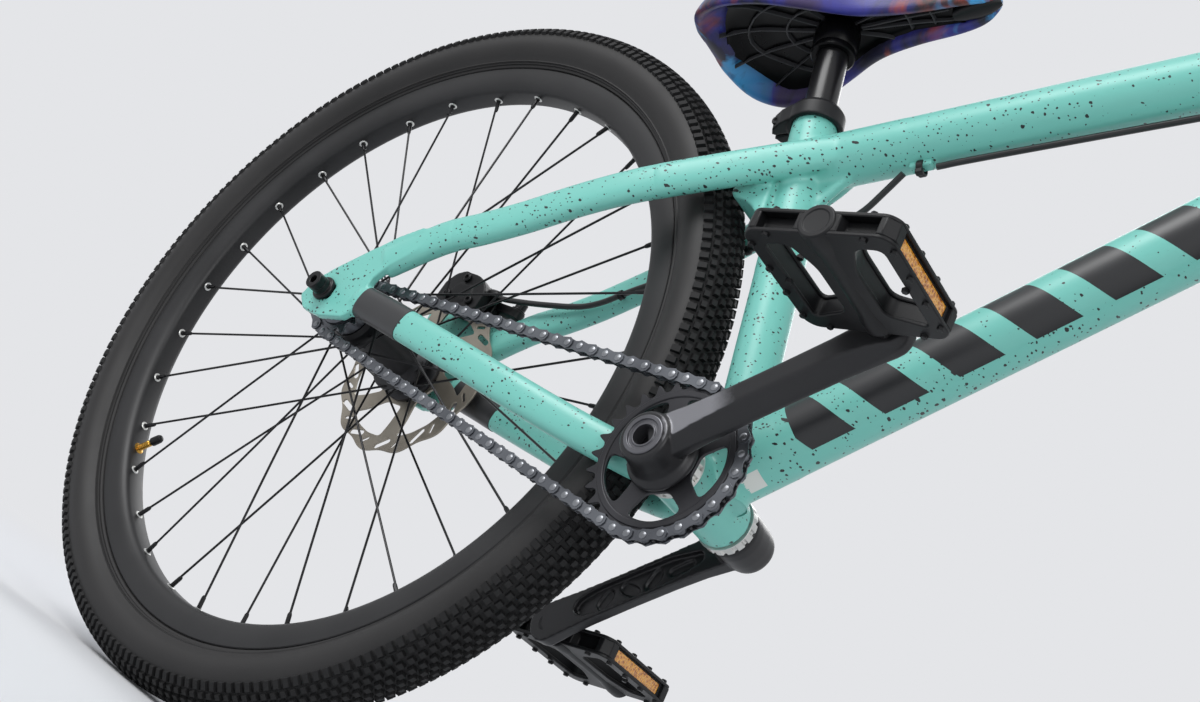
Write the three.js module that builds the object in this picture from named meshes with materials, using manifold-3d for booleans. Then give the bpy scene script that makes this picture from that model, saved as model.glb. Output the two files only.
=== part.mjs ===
// Dirt jump bike, millimetres, +X forward, +Y to the rider's left, +Z up.
// The origin is on the ground, half way between the two axles.
import * as THREE from 'three';
import { mergeVertices } from 'three/addons/utils/BufferGeometryUtils.js';
import Module from 'manifold-3d';

const wasm = await Module();
wasm.setup();

// Layout.
const wheelbase = 1072;
const axleHeight = 335;
const chainstayReach = 382.8;
const bracketDrop = 13.4;
const headAngle = THREE.MathUtils.degToRad(69);
const seatAngle = THREE.MathUtils.degToRad(68.4);
const seatTubeAhead = 18.6;
const seatTubeRise = 336.5;
const forkOffset = 40;
const forkLength = 463;
const forkTravel = 100;
const headTubeLength = 124;
const seamGap = 0.35;

// Wheels.
const tyreWidth = 54;
const tyreHeight = 54;
const casingThickness = 3;
const rimWidth = 30;
const rimWall = 3;
const rimRadius = 285.5;
const rimBedDepth = 7.2;
const rimInnerRadius = 262.5;
const rimFloorWidth = 20;
const spokeThickness = 2;
const spokeCount = 32;
const spokePhase = THREE.MathUtils.degToRad(116.28);
const flangeCircleRadius = 26;
const flangeRadius = 29;
const flangeThickness = 3.4;
const hubBarrelRadius = 15;
const hubEndRadius = 9.5;
const rearFlangeRightOffset = 27;
const rearFlangeLeftOffset = 33;
const rearHubWidth = 135;
const frontHubWidth = 100;
const frontFlangeOffset = 29;
const rearAxleRadius = 5;
const axleClearance = 0.4;
const rotorRadius = 80;
const rotorThickness = 1.9;
const rotorOffset = 52;
const rotorTrackWidth = 15;
const rotorHubRadius = 29;
const rotorBoreRadius = 22;
const rotorSlotWidth = 3;
const rotorWave = 1.4;
const sprocketOffset = 50;

// Drivetrain.
const chainPitch = 12.7;
const ringTeeth = 28;
const sprocketTeeth = 13;
const ringThickness = 3;
const toothThickness = 2.2;
const rollerRadius = 3.7;
const plateHeight = 8.4;
const plateThickness = 2;
const chainInnerWidth = 3.2;
const ringRimWidth = 7.5;
const ringHubRadius = 19;
const ringSpokeWidth = 9;
const sprocketBoreRadius = 18.5;
const crankLength = 170;
const crankWidth = 26;
const crankEyeWidth = 30;
const crankThickness = 13;
const crankBossRadius = 18.5;
const crankInnerOffset = 62;
const crankOuterOffset = 82;
const crankEyeOffset = 76;
const crankAngle = THREE.MathUtils.degToRad(41.6);
const spindleRadius = 12;
const spindleBoreRadius = 8;
const shellRadius = 20.5;
const shellWidth = 73;
const shellBoreRadius = 17;
const cupRadius = 21.5;
const cupFlange = 8;
const cupDepth = 14;
const cupNeckRadius = 16.4;
const pedalAxleRadius = 5.2;
const pedalAxleTipLength = 74;
const pedalCollarRadius = 9;
const pedalCollarLength = 5;
const pedalLength = 98;
const pedalWidth = 96;
const pedalHeight = 22;
const pedalRail = 11;
const pedalBarrelRadius = 11;
const pedalTwist = THREE.MathUtils.degToRad(10.5);

// Frame.
const tubeWall = 1.6;
const seatTubeRadius = 17.3;
const seatTubeBoreRadius = 12.95;
const topTubeRadius = 20.3;
const downTubeRadius = 23.6;
const headTubeRadius = 24;
const headTubeBoreRadius = 17.5;
const headTubeLipHeight = 13;
const headTubeLip = 2.5;
const topTubeBelowHeadTop = 26;
const downTubeAboveHeadBottom = 50;
const topTubeSeatRise = 284.8;
const stayHeight = 26;
const stayWidth = 16;
const dropoutThickness = 7;
const dropoutSlotHeight = 14;
const dropoutSlotLength = 26;
const bridgeRadius = 8;
const gussetThickness = 5;
const clampHeight = 15;
const clampWall = 4.6;
const clampLugDepth = 15;
const clampLugHeight = 12;
const clampLugWidth = 22;
const clampSlit = 3;
const guideWidth = 12;
const guideLength = 22;
const guideDepth = 9;
const boltBarrelRadius = 8;
const boltBarrelLength = 15;
const boltFlangeRadius = 10.5;
const boltFlangeThickness = 3.5;
const boltSocketRadius = 3.6;
const boltSocketDepth = 7;

// Fork and steering.
const steererRadius = 14.3;
const steererWall = 2;
const stanchionRadius = 16;
const stanchionWall = 2.5;
const stanchionSpread = 59;
const stanchionOverlap = 120;
const crownHeight = 38;
const crownCentreThickness = 11;
const crownShoulder = 7;
const crownDepth = 40;
const crownWall = 6;
const lowerLegRadius = 20.5;
const lowerLegLength = 296;
const archThickness = 11;
const archHeight = 24;
const archClearance = 9;
const archForward = 33;
const lugThickness = 13;
const lugRadius = 19;
const lowerCupHeight = 11;
const upperCupHeight = 12;
const cupSkirtRadius = 25;
const spacerHeight = 10;
const stemHeight = 40;
const stemRadius = 19;
const stemReach = 45;
const stemClampRadius = 22;
const stemClampWidth = 46;
const topCapThickness = 5;
const frontAxleRadius = 7.5;
const frontAxleHead = 12;
const frontAxleHeadThickness = 9;

// Handlebar and brake.
const barWidth = 760;
const barRise = 55;
const barSweep = 42;
const barRadius = 15.9;
const barEndRadius = 11.1;
const barWall = 2.2;
const gripRadius = 15.5;
const gripLength = 132;
const gripFlangeRadius = 21;
const gripFlangeThickness = 4;
const masterBackset = 42;
const masterClampWidth = 14;
const masterClampRadius = 15.5;
const masterLength = 52;
const masterRadius = 9;
const leverLength = 92;
const leverThickness = 8;
const leverHeight = 11;
const leverStandoff = 34;
const hoseRadius = 2.5;
const padThickness = 3.5;
const padWidth = 24;
const padHeight = 15;
const padGap = 0.4;
const caliperLength = 52;
const caliperWidth = 30;
const caliperHeight = 34;
const caliperMouth = 13;
const caliperBoltRadius = 5;
const mountPadThickness = 8;

// Seat.
const postRadius = 12.7;
const postInsertLength = 110;
const postShowLength = 84;
const saddleLength = 235;
const saddleWidth = 132;
const saddleSetback = 114.6;
const saddleTailLift = -29.6;
const saddleNoseRise = 83;
const saddlePadThickness = 24;
const saddleSkirt = 26;
const saddleShellThickness = 4;
const saddleShellGap = 3;
const saddleBossRadius = 18;
const saddleBossLength = 34;

const black = 0x1c1d1f;
const mint = 0x7fcfc4;
const steel = 0x6d7075;
const silver = 0xb9bcc0;

const group = new THREE.Group();
group.name = 'dirt_jump_bike';

const yAxis = new THREE.Vector3(0, 1, 0);
const zAxis = new THREE.Vector3(0, 0, 1);
const turn = 2 * Math.PI;

// Helpers.
function toSolid(geometry) {
  const bare = geometry.clone();
  bare.deleteAttribute('normal');
  bare.deleteAttribute('uv');
  const merged = mergeVertices(bare);
  const corners = merged.index.array;
  const kept = [];
  for (let i = 0; i < corners.length; i += 3) {
    const [a, b, c] = [corners[i], corners[i + 1], corners[i + 2]];
    if (a !== b && b !== c && c !== a) {
      kept.push(a, b, c);
    }
  }
  const mesh = new wasm.Mesh({
    numProp: 3,
    vertProperties: new Float32Array(merged.attributes.position.array),
    triVerts: new Uint32Array(kept),
  });
  return new wasm.Manifold(mesh);
}

function toGeometry(solid) {
  const mesh = solid.getMesh();
  const geometry = new THREE.BufferGeometry();
  geometry.setAttribute('position', new THREE.BufferAttribute(new Float32Array(mesh.vertProperties), 3));
  geometry.setIndex(new THREE.BufferAttribute(new Uint32Array(mesh.triVerts), 1));
  return geometry;
}

function joined(solids) {
  return solids.reduce((sum, one) => sum.add(one));
}

// A tube cut to fit its neighbour can leave a crumb behind, so only the main body is kept.
function mainBody(solid) {
  const bodies = solid.decompose();
  return bodies.reduce((best, one) => (one.volume() > best.volume() ? one : best));
}

function addPiece(name, solid, colour, roughness = 0.5, metalness = 0.2) {
  const geometry = toGeometry(mainBody(solid));
  geometry.computeVertexNormals();
  const material = new THREE.MeshStandardMaterial({ color: colour, roughness, metalness });
  const mesh = new THREE.Mesh(geometry, material);
  mesh.name = name;
  group.add(mesh);
}

// A closed skin through rings of points, with both ends capped, or a closed loop of rings.
function loft(rings, looped = false) {
  const across = rings[0].length;
  const positions = [];
  const index = [];
  rings.forEach((ring) => ring.forEach((p) => positions.push(p.x, p.y, p.z)));
  const spans = looped ? rings.length : rings.length - 1;
  for (let i = 0; i < spans; i += 1) {
    const near = i * across;
    const far = ((i + 1) % rings.length) * across;
    for (let j = 0; j < across; j += 1) {
      const next = (j + 1) % across;
      index.push(near + j, near + next, far + next);
      index.push(near + j, far + next, far + j);
    }
  }
  if (!looped) {
    const last = (rings.length - 1) * across;
    for (let j = 1; j < across - 1; j += 1) {
      index.push(0, j + 1, j);
      index.push(last, last + j, last + j + 1);
    }
  }
  const geometry = new THREE.BufferGeometry();
  geometry.setAttribute('position', new THREE.Float32BufferAttribute(positions, 3));
  geometry.setIndex(index);
  const solid = toSolid(geometry);
  if (solid.volume() >= 0) {
    return solid;
  }
  const flipped = [];
  for (let i = 0; i < index.length; i += 3) {
    flipped.push(index[i], index[i + 2], index[i + 1]);
  }
  geometry.setIndex(flipped);
  return toSolid(geometry);
}

// A ring of points round a spot: long axis up in the plane that holds the heading.
function ringAt(centre, heading, wide, tall, count) {
  const side = new THREE.Vector3().crossVectors(zAxis, heading);
  if (side.length() < 0.2) {
    side.copy(yAxis);
  }
  side.normalize();
  const up = new THREE.Vector3().crossVectors(heading, side).normalize();
  const ring = [];
  for (let i = 0; i < count; i += 1) {
    const a = (turn * i) / count;
    const p = centre.clone();
    p.addScaledVector(side, wide * Math.cos(a));
    p.addScaledVector(up, tall * Math.sin(a));
    ring.push(p);
  }
  return ring;
}

// A bar along a list of points, each with half its width and half its height.
function bar(points, halves, count = 12) {
  const rings = points.map((point, i) => {
    const before = points[Math.max(i - 1, 0)];
    const after = points[Math.min(i + 1, points.length - 1)];
    const heading = new THREE.Vector3().subVectors(after, before).normalize();
    const half = halves[i];
    return ringAt(point, heading, half[0], half[1], count);
  });
  return loft(rings);
}

function roundBar(points, radii, count = 12) {
  return bar(points, radii.map((r) => [r, r]), count);
}

// A round bar between two spots.
function rod(from, to, radius, count = 16, endRadius = radius) {
  return roundBar([from, to], [radius, endRadius], count);
}

// A turned piece: profile of [along, radius] about a line from a spot.
function turned(profile, origin, direction, count = 24, phase = 0) {
  const points = profile.map(([along, radius]) => new THREE.Vector2(radius, along));
  const first = points[0];
  const last = points[points.length - 1];
  if (first.x > 0 || last.x > 0) {
    points.push(first.clone());
  }
  const geometry = new THREE.LatheGeometry(points, count);
  const across = new THREE.Vector3().crossVectors(yAxis, direction);
  geometry.rotateY(phase + (across.length() > 0 ? Math.atan2(across.x, across.z) : 0));
  const swing = new THREE.Quaternion().setFromUnitVectors(yAxis, direction.clone().normalize());
  geometry.applyQuaternion(swing);
  geometry.translate(origin.x, origin.y, origin.z);
  const solid = toSolid(geometry);
  if (solid.volume() >= 0) {
    return solid;
  }
  const turnedBack = geometry.clone();
  const order = Array.from(turnedBack.index.array);
  for (let i = 0; i < order.length; i += 3) {
    const keep = order[i + 1];
    order[i + 1] = order[i + 2];
    order[i + 2] = keep;
  }
  turnedBack.setIndex(order);
  return toSolid(turnedBack);
}

// A plate cut from an outline in the X-Z plane, between two Y faces.
function plateXZ(outline, holes, origin, yLow, yHigh) {
  const shape = new THREE.Shape(outline.map(([x, z]) => new THREE.Vector2(x, z)));
  holes.forEach((hole) => {
    shape.holes.push(new THREE.Path(hole.map(([x, z]) => new THREE.Vector2(x, z))));
  });
  const geometry = new THREE.ExtrudeGeometry(shape, { depth: yHigh - yLow, bevelEnabled: false });
  geometry.rotateX(Math.PI / 2);
  geometry.translate(origin.x, yHigh, origin.z);
  return toSolid(geometry);
}

function circlePoints(radius, count, phase = 0) {
  const list = [];
  for (let i = 0; i < count; i += 1) {
    const a = phase + (turn * i) / count;
    list.push([radius * Math.cos(a), radius * Math.sin(a)]);
  }
  return list;
}

function blockAt(centre, sizeX, sizeY, sizeZ, tilt = 0) {
  const geometry = new THREE.BoxGeometry(sizeX, sizeY, sizeZ);
  geometry.rotateY(-tilt);
  geometry.translate(centre.x, centre.y, centre.z);
  return toSolid(geometry);
}

// Main spots.
const rearAxle = new THREE.Vector3(-wheelbase / 2, 0, axleHeight);
const frontAxle = new THREE.Vector3(wheelbase / 2, 0, axleHeight);
const bracket = new THREE.Vector3(rearAxle.x + chainstayReach, 0, axleHeight - bracketDrop);
const steerUp = new THREE.Vector3(-Math.cos(headAngle), 0, Math.sin(headAngle));
const steerAhead = new THREE.Vector3(Math.sin(headAngle), 0, Math.cos(headAngle));
const steerFoot = frontAxle.clone().addScaledVector(steerAhead, -forkOffset);

// A spot in the steering frame: along the axis, ahead of it, and to the left.
function steer(along, ahead = 0, left = 0) {
  const p = steerFoot.clone();
  p.addScaledVector(steerUp, along);
  p.addScaledVector(steerAhead, ahead);
  p.y += left;
  return p;
}

const headBottom = forkLength + lowerCupHeight;
const headTop = headBottom + headTubeLength;
const seatUp = new THREE.Vector3(-Math.cos(seatAngle), 0, Math.sin(seatAngle));
const seatFoot = new THREE.Vector3(bracket.x + seatTubeAhead, 0, bracket.z);

function alongSeat(along, left = 0) {
  const p = seatFoot.clone().addScaledVector(seatUp, along);
  p.y += left;
  return p;
}

// Frame tubes.
const headTubeSolid = turned([
  [0, headTubeRadius + headTubeLip],
  [headTubeLipHeight, headTubeRadius],
  [headTubeLength - headTubeLipHeight, headTubeRadius],
  [headTubeLength, headTubeRadius + headTubeLip],
  [headTubeLength, headTubeBoreRadius],
  [0, headTubeBoreRadius],
], steer(headBottom), steerUp, 20);
addPiece('head_tube', headTubeSolid, mint);

const headClear = turned([
  [-lowerCupHeight, 0],
  [-lowerCupHeight, headTubeRadius + headTubeLip + seamGap],
  [seamGap, headTubeRadius + headTubeLip + seamGap],
  [headTubeLipHeight, headTubeRadius + seamGap],
  [headTubeLength - headTubeLipHeight, headTubeRadius + seamGap],
  [headTubeLength + seamGap, headTubeRadius + headTubeLip + seamGap],
  [headTubeLength + seamGap, 0],
], steer(headBottom), steerUp, 20);
const shellFace = shellWidth / 2;
const shellClear = rod(
  new THREE.Vector3(bracket.x, -shellFace, bracket.z),
  new THREE.Vector3(bracket.x, shellFace, bracket.z),
  shellRadius + seamGap,
  20,
);

const downStart = new THREE.Vector3(bracket.x, 0, bracket.z + shellRadius / 2);
const downEnd = steer(headBottom + downTubeAboveHeadBottom);
// The tube bows up a little above the line between its ends, by shares of that line's length.
const downShares = [0, 0.55, 0.72, 0.86, 1];
const downBowShares = [0, 0.0649, 0.0616, 0.036, 0];
const downReach = downStart.distanceTo(downEnd);
const downRoute = downShares.map((share, i) => {
  const p = downStart.clone().lerp(downEnd, share);
  p.z += downReach * downBowShares[i];
  return p;
});
const downOuter = roundBar(downRoute, downRoute.map(() => downTubeRadius), 14);
const downInner = roundBar(downRoute, downRoute.map(() => downTubeRadius - tubeWall), 14);
addPiece('down_tube', downOuter.subtract(downInner).subtract(headClear).subtract(shellClear), mint);
const downClear = roundBar(downRoute, downRoute.map(() => downTubeRadius + seamGap), 14);

const topStart = alongSeat(topTubeSeatRise);
const topEnd = steer(headTop - topTubeBelowHeadTop);
const topRoute = [topStart, topEnd];
const seatTop = alongSeat(seatTubeRise);
const seatTubeOuter = rod(seatFoot, seatTop, seatTubeRadius, 16);
const seatTubeBore = rod(alongSeat(-seatTubeRadius), alongSeat(seatTubeRise + seatTubeRadius), seatTubeBoreRadius, 16);
const seatTubeClear = rod(alongSeat(0), seatTop, seatTubeRadius + seamGap, 16);
const topOuter = roundBar(topRoute, topRoute.map(() => topTubeRadius), 14);
const topInner = roundBar(topRoute, topRoute.map(() => topTubeRadius - tubeWall), 14);
addPiece('top_tube', topOuter.subtract(topInner).subtract(headClear).subtract(seatTubeClear).subtract(downClear), mint);
const slitMiddle = alongSeat(seatTubeRise - clampHeight, 0);
slitMiddle.addScaledVector(steerAhead, -seatTubeRadius);
const seatSlit = blockAt(slitMiddle, 2 * seatTubeRadius, clampSlit, 2 * clampHeight, Math.PI / 2 - seatAngle);
addPiece('seat_tube', seatTubeOuter.subtract(seatTubeBore).subtract(shellClear).subtract(downClear).subtract(seatSlit), mint);

addPiece('bottom_bracket_shell', turned([
  [-shellFace, shellRadius],
  [shellFace, shellRadius],
  [shellFace, shellBoreRadius],
  [-shellFace, shellBoreRadius],
], bracket, yAxis, 20), mint);

// Stays.
// Each route is in shares: forward and up of the chainstay reach, outward of half the hub's width.
const dropoutFace = rearHubWidth / 2;
const chainstayShares = [
  [0.1, 1, 0.012],
  [0.3, 0.992, -0.006],
  [0.56, 0.879, -0.03],
  [0.76, 0.635, -0.042],
  [0.86, 0.51, -0.044],
  [0.92, 0.386, -0.042],
  [1.0, 0.284, -0.038],
];
const seatstayShares = [
  [0.1, 1, 0.112],
  [0.2, 0.975, 0.205],
  [0.36, 0.896, 0.3],
  [0.56, 0.749, 0.443],
  [0.68, 0.567, 0.535],
  [0.785, 0.352, 0.622],
];

function stayRoute(shares, sideSign) {
  return shares.map(([ahead, out, up]) => new THREE.Vector3(
    rearAxle.x + chainstayReach * ahead,
    sideSign * dropoutFace * out,
    rearAxle.z + chainstayReach * up,
  ));
}

const stayHalves = chainstayShares.map(() => [stayWidth / 2, stayHeight / 2]);
const dropoutShares = [
  [-0.063, -0.03],
  [-0.05, 0.012],
  [0.0, 0.07],
  [0.1, 0.165],
  [0.17, 0.2],
  [0.16, 0.1],
  [0.24, 0.03],
  [0.24, -0.025],
  [0.06, -0.05],
  [-0.03, -0.058],
];

// The left plate also rises into a tab that carries the caliper.
const brakeTabShare = 0.2125;
const dropoutLeftShares = [
  [-0.063, -0.03],
  [-0.06, 0.01],
  [-0.125, 0.15],
  [-0.125, brakeTabShare],
  [0.14, brakeTabShare],
  [0.17, 0.2],
].concat(dropoutShares.slice(5));

function stayCut(solid, sideSign) {
  const thick = dropoutThickness + 2 * seamGap;
  const middle = new THREE.Vector3(rearAxle.x, sideSign * (dropoutFace + dropoutThickness / 2), rearAxle.z);
  const reach = chainstayReach * 0.52;
  return solid.subtract(blockAt(middle, reach, thick, reach));
}

[['right', -1], ['left', 1]].forEach(([side, sideSign]) => {
  const lowRoute = stayRoute(chainstayShares, sideSign);
  const highRoute = stayRoute(seatstayShares, sideSign);
  const low = bar(lowRoute, stayHalves, 12);
  const high = bar(highRoute, stayHalves, 12);
  const lowCut = stayCut(low.subtract(shellClear).subtract(seatTubeClear).subtract(downClear), sideSign);
  const highCut = stayCut(high.subtract(seatTubeClear), sideSign);
  addPiece(`chainstay_${side}`, lowCut, mint);
  addPiece(`seatstay_${side}`, highCut, mint);
  const shares = sideSign > 0 ? dropoutLeftShares : dropoutShares;
  const outline = shares.map(([x, z]) => [x * chainstayReach, z * chainstayReach]);
  const halfSlot = dropoutSlotHeight / 2;
  const slotEnd = dropoutSlotLength - halfSlot;
  const slot = [[-halfSlot, -halfSlot], [slotEnd, -halfSlot], [slotEnd, halfSlot], [-halfSlot, halfSlot]];
  const inner = sideSign > 0 ? dropoutFace : -dropoutFace - dropoutThickness;
  addPiece(`dropout_${side}`, plateXZ(outline, [slot], rearAxle, inner, inner + dropoutThickness), mint);
});

const bridgeStay = stayRoute(seatstayShares, 1);
const bridgeRoute = bridgeStay[4].clone().lerp(bridgeStay[5], 0.6);
const bridgeHalf = bridgeRoute.y;
const bridge = rod(
  new THREE.Vector3(bridgeRoute.x, -bridgeHalf, bridgeRoute.z),
  new THREE.Vector3(bridgeRoute.x, bridgeHalf, bridgeRoute.z),
  bridgeRadius,
  12,
);
const bridgeLegFoot = alongSeat(seatTubeRise - clampHeight * 7);
const bridgeLeg = bar([
  new THREE.Vector3(bridgeRoute.x, 0, bridgeRoute.z),
  bridgeLegFoot,
], [[gussetThickness, bridgeRadius], [gussetThickness, bridgeRadius]], 8);
const bridgeStays = joined([
  bar(stayRoute(seatstayShares, 1), stayHalves.map(([w, h]) => [w + seamGap, h + seamGap]), 12),
  bar(stayRoute(seatstayShares, -1), stayHalves.map(([w, h]) => [w + seamGap, h + seamGap]), 12),
]);
addPiece('seatstay_bridge', bridge.add(bridgeLeg).subtract(seatTubeClear).subtract(bridgeStays), mint);

const gussetDrop = 34;
const gussetFront = topStart.clone().lerp(topEnd, 0.1375);
const gussetLow = alongSeat(topTubeSeatRise - topTubeRadius - gussetDrop);
const topHeading = new THREE.Vector3().subVectors(topEnd, topStart).normalize();
const topClear = roundBar(topRoute, topRoute.map(() => topTubeRadius + seamGap), 14);
const gussetOutline = [
  [topStart.x, topStart.z],
  [gussetFront.x, gussetFront.z],
  [gussetFront.x, gussetFront.z - topTubeRadius / topHeading.x - seamGap],
  [gussetLow.x + seatTubeRadius + seamGap, gussetLow.z],
  [gussetLow.x, gussetLow.z],
];
const gusset = plateXZ(gussetOutline, [], new THREE.Vector3(), -gussetThickness / 2, gussetThickness / 2);
addPiece('top_tube_gusset', gusset.subtract(seatTubeClear).subtract(topClear), mint);

// Hose guide under the top tube.
const guideShare = 0.156;
const guideSpot = topStart.clone().lerp(topEnd, guideShare);
const topDown = new THREE.Vector3(topHeading.z, 0, -topHeading.x);
const topTilt = Math.atan2(topHeading.z, topHeading.x);
const hoseDrop = topTubeRadius + guideDepth / 2 + seamGap;
const guideMiddle = guideSpot.clone().addScaledVector(topDown, hoseDrop);
const guideBlock = blockAt(guideMiddle, guideLength, guideWidth, guideDepth, topTilt);

// Headset and steering column.
const cupWall = headTubeBoreRadius - seamGap;
addPiece('headset_cup_lower', turned([
  [seamGap, cupSkirtRadius],
  [lowerCupHeight - seamGap, cupSkirtRadius],
  [lowerCupHeight - seamGap, cupWall],
  [lowerCupHeight + cupDepth, cupWall],
  [lowerCupHeight + cupDepth, steererRadius + seamGap],
  [seamGap, steererRadius + seamGap],
], steer(forkLength), steerUp, 16), black, 0.4, 0.6);
addPiece('headset_cup_upper', turned([
  [-cupDepth, cupWall],
  [seamGap, cupWall],
  [seamGap, cupSkirtRadius],
  [upperCupHeight - cupFlange, cupSkirtRadius],
  [upperCupHeight - seamGap, stemRadius],
  [upperCupHeight - seamGap, steererRadius + seamGap],
  [-cupDepth, steererRadius + seamGap],
], steer(headTop), steerUp, 16), black, 0.4, 0.6);
const stemBase = headTop + upperCupHeight + spacerHeight;
addPiece('headset_spacer', turned([
  [0, stemRadius],
  [spacerHeight - seamGap, stemRadius],
  [spacerHeight - seamGap, steererRadius + seamGap],
  [0, steererRadius + seamGap],
], steer(headTop + upperCupHeight), steerUp, 16), black, 0.4, 0.6);

const stanchionFoot = forkLength - crownHeight - forkTravel - stanchionOverlap;
const column = turned([
  [forkLength - crownCentreThickness / 2, steererRadius],
  [stemBase + stemHeight - seamGap, steererRadius],
  [stemBase + stemHeight - seamGap, steererRadius - steererWall],
  [forkLength - crownCentreThickness / 2, steererRadius - steererWall],
], steer(0), steerUp, 16);
const crownParts = [column];
const crownBeam = loft([-1, 1].map((sideSign) => [
  steer(forkLength - crownCentreThickness, -crownDepth / 2, sideSign * stanchionSpread),
  steer(forkLength - crownCentreThickness, crownDepth / 2, sideSign * stanchionSpread),
  steer(forkLength, crownDepth / 2, sideSign * stanchionSpread),
  steer(forkLength, -crownDepth / 2, sideSign * stanchionSpread),
]));
crownParts.push(crownBeam);
[-1, 1].forEach((sideSign) => {
  const left = sideSign * stanchionSpread;
  const collar = rod(
    steer(forkLength - crownHeight, 0, left),
    steer(forkLength - crownShoulder, 0, left),
    stanchionRadius + crownWall,
    10,
  );
  const tube = rod(steer(stanchionFoot, 0, left), steer(forkLength - crownHeight / 2, 0, left), stanchionRadius, 10);
  const hollow = rod(
    steer(stanchionFoot - stanchionWall, 0, left),
    steer(forkLength - crownHeight / 2 - stanchionWall, 0, left),
    stanchionRadius - stanchionWall,
    10,
  );
  crownParts.push(collar.add(tube).subtract(hollow));
});
addPiece('fork_crown_and_stanchions', joined(crownParts), black, 0.3, 0.6);

// Fork lowers.
const lowerParts = [];
const frontFace = frontHubWidth / 2;
const lugInner = frontFace;
[-1, 1].forEach((sideSign) => {
  const left = sideSign * stanchionSpread;
  const leg = rod(steer(0, 0, left), steer(lowerLegLength, 0, left), lowerLegRadius, 10, lowerLegRadius);
  const bore = rod(
    steer(stanchionFoot - forkTravel - stanchionWall, 0, left),
    steer(lowerLegLength + stanchionWall, 0, left),
    stanchionRadius + seamGap,
    10,
  );
  const lugShape = [
    steer(0, forkOffset + lugRadius),
    steer(lugRadius, forkOffset),
    steer(lugRadius * 3, lowerLegRadius / 2),
    steer(lugRadius * 3, -lowerLegRadius / 2),
    steer(-lugRadius / 2, -lowerLegRadius / 2),
    steer(-lugRadius, forkOffset / 2),
    steer(-lugRadius, forkOffset),
  ];
  const lugLow = sideSign > 0 ? lugInner : -lugInner - lugThickness;
  const lug = plateXZ(lugShape.map((p) => [p.x, p.z]), [], new THREE.Vector3(), lugLow, lugLow + lugThickness);
  lowerParts.push(leg.add(lug).subtract(bore));
});
const archTop = axleHeight;
const archRoute = [
  steer(lowerLegLength - archHeight, lowerLegRadius / 2, -stanchionSpread),
  steer(lowerLegLength + archClearance, archForward, -stanchionSpread * 0.86),
  steer(archTop + archClearance, archForward, -stanchionSpread * 0.5),
  steer(archTop + archHeight, archForward, 0),
  steer(archTop + archClearance, archForward, stanchionSpread * 0.5),
  steer(lowerLegLength + archClearance, archForward, stanchionSpread * 0.86),
  steer(lowerLegLength - archHeight, lowerLegRadius / 2, stanchionSpread),
];
const archRings = archRoute.map((p) => {
  const ring = [];
  const out = new THREE.Vector3(0, p.y, 0).addScaledVector(steerUp, archHeight);
  out.normalize();
  [[-1, -1], [1, -1], [1, 1], [-1, 1]].forEach(([ahead, away]) => {
    const corner = p.clone();
    corner.addScaledVector(steerAhead, (ahead * archThickness) / 2);
    corner.addScaledVector(out, (away * archHeight) / 3);
    ring.push(corner);
  });
  return ring;
});
lowerParts.push(loft(archRings));
const boreBoth = [-1, 1].map((sideSign) => rod(
  steer(lowerLegLength - archHeight * 2, 0, sideSign * stanchionSpread),
  steer(lowerLegLength + archHeight * 2, 0, sideSign * stanchionSpread),
  stanchionRadius + seamGap,
  10,
));
const frontAxleBore = rod(
  new THREE.Vector3(frontAxle.x, -axleHeight, frontAxle.z),
  new THREE.Vector3(frontAxle.x, axleHeight, frontAxle.z),
  frontAxleRadius + seamGap,
  16,
);
addPiece('fork_lowers', joined(lowerParts).subtract(joined(boreBoth)).subtract(frontAxleBore), black, 0.45, 0.3);
const axleReach = lugInner + lugThickness;
addPiece('front_axle', joined([
  rod(
    new THREE.Vector3(frontAxle.x, -axleReach - seamGap - frontAxleHeadThickness, frontAxle.z),
    new THREE.Vector3(frontAxle.x, axleReach, frontAxle.z),
    frontAxleRadius,
    16,
  ),
  rod(
    new THREE.Vector3(frontAxle.x, -axleReach - seamGap - frontAxleHeadThickness, frontAxle.z),
    new THREE.Vector3(frontAxle.x, -axleReach - seamGap, frontAxle.z),
    frontAxleHead,
    16,
  ),
]), black, 0.4, 0.6);

// Stem, handlebar and grips.
const stemMiddle = stemBase + stemHeight / 2;
const barCentre = steer(stemMiddle, stemReach, 0);
const barSpanShares = [0, 0.09, 0.15, 0.24, 0.49, 1];
const barRiseShares = [0, 0, 0.04, 0.2, 0.9, 1.1];
const barSweepShares = [0, 0, 0.02, 0.06, 0.3, 1];
const barThickShares = [1, 1, 0.25, 0, 0, 0];

function barSpot(index, sideSign) {
  const p = barCentre.clone();
  p.addScaledVector(steerUp, barRise * barRiseShares[index]);
  p.addScaledVector(steerAhead, -barSweep * barSweepShares[index]);
  p.y += (sideSign * barWidth * barSpanShares[index]) / 2;
  return p;
}

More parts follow.
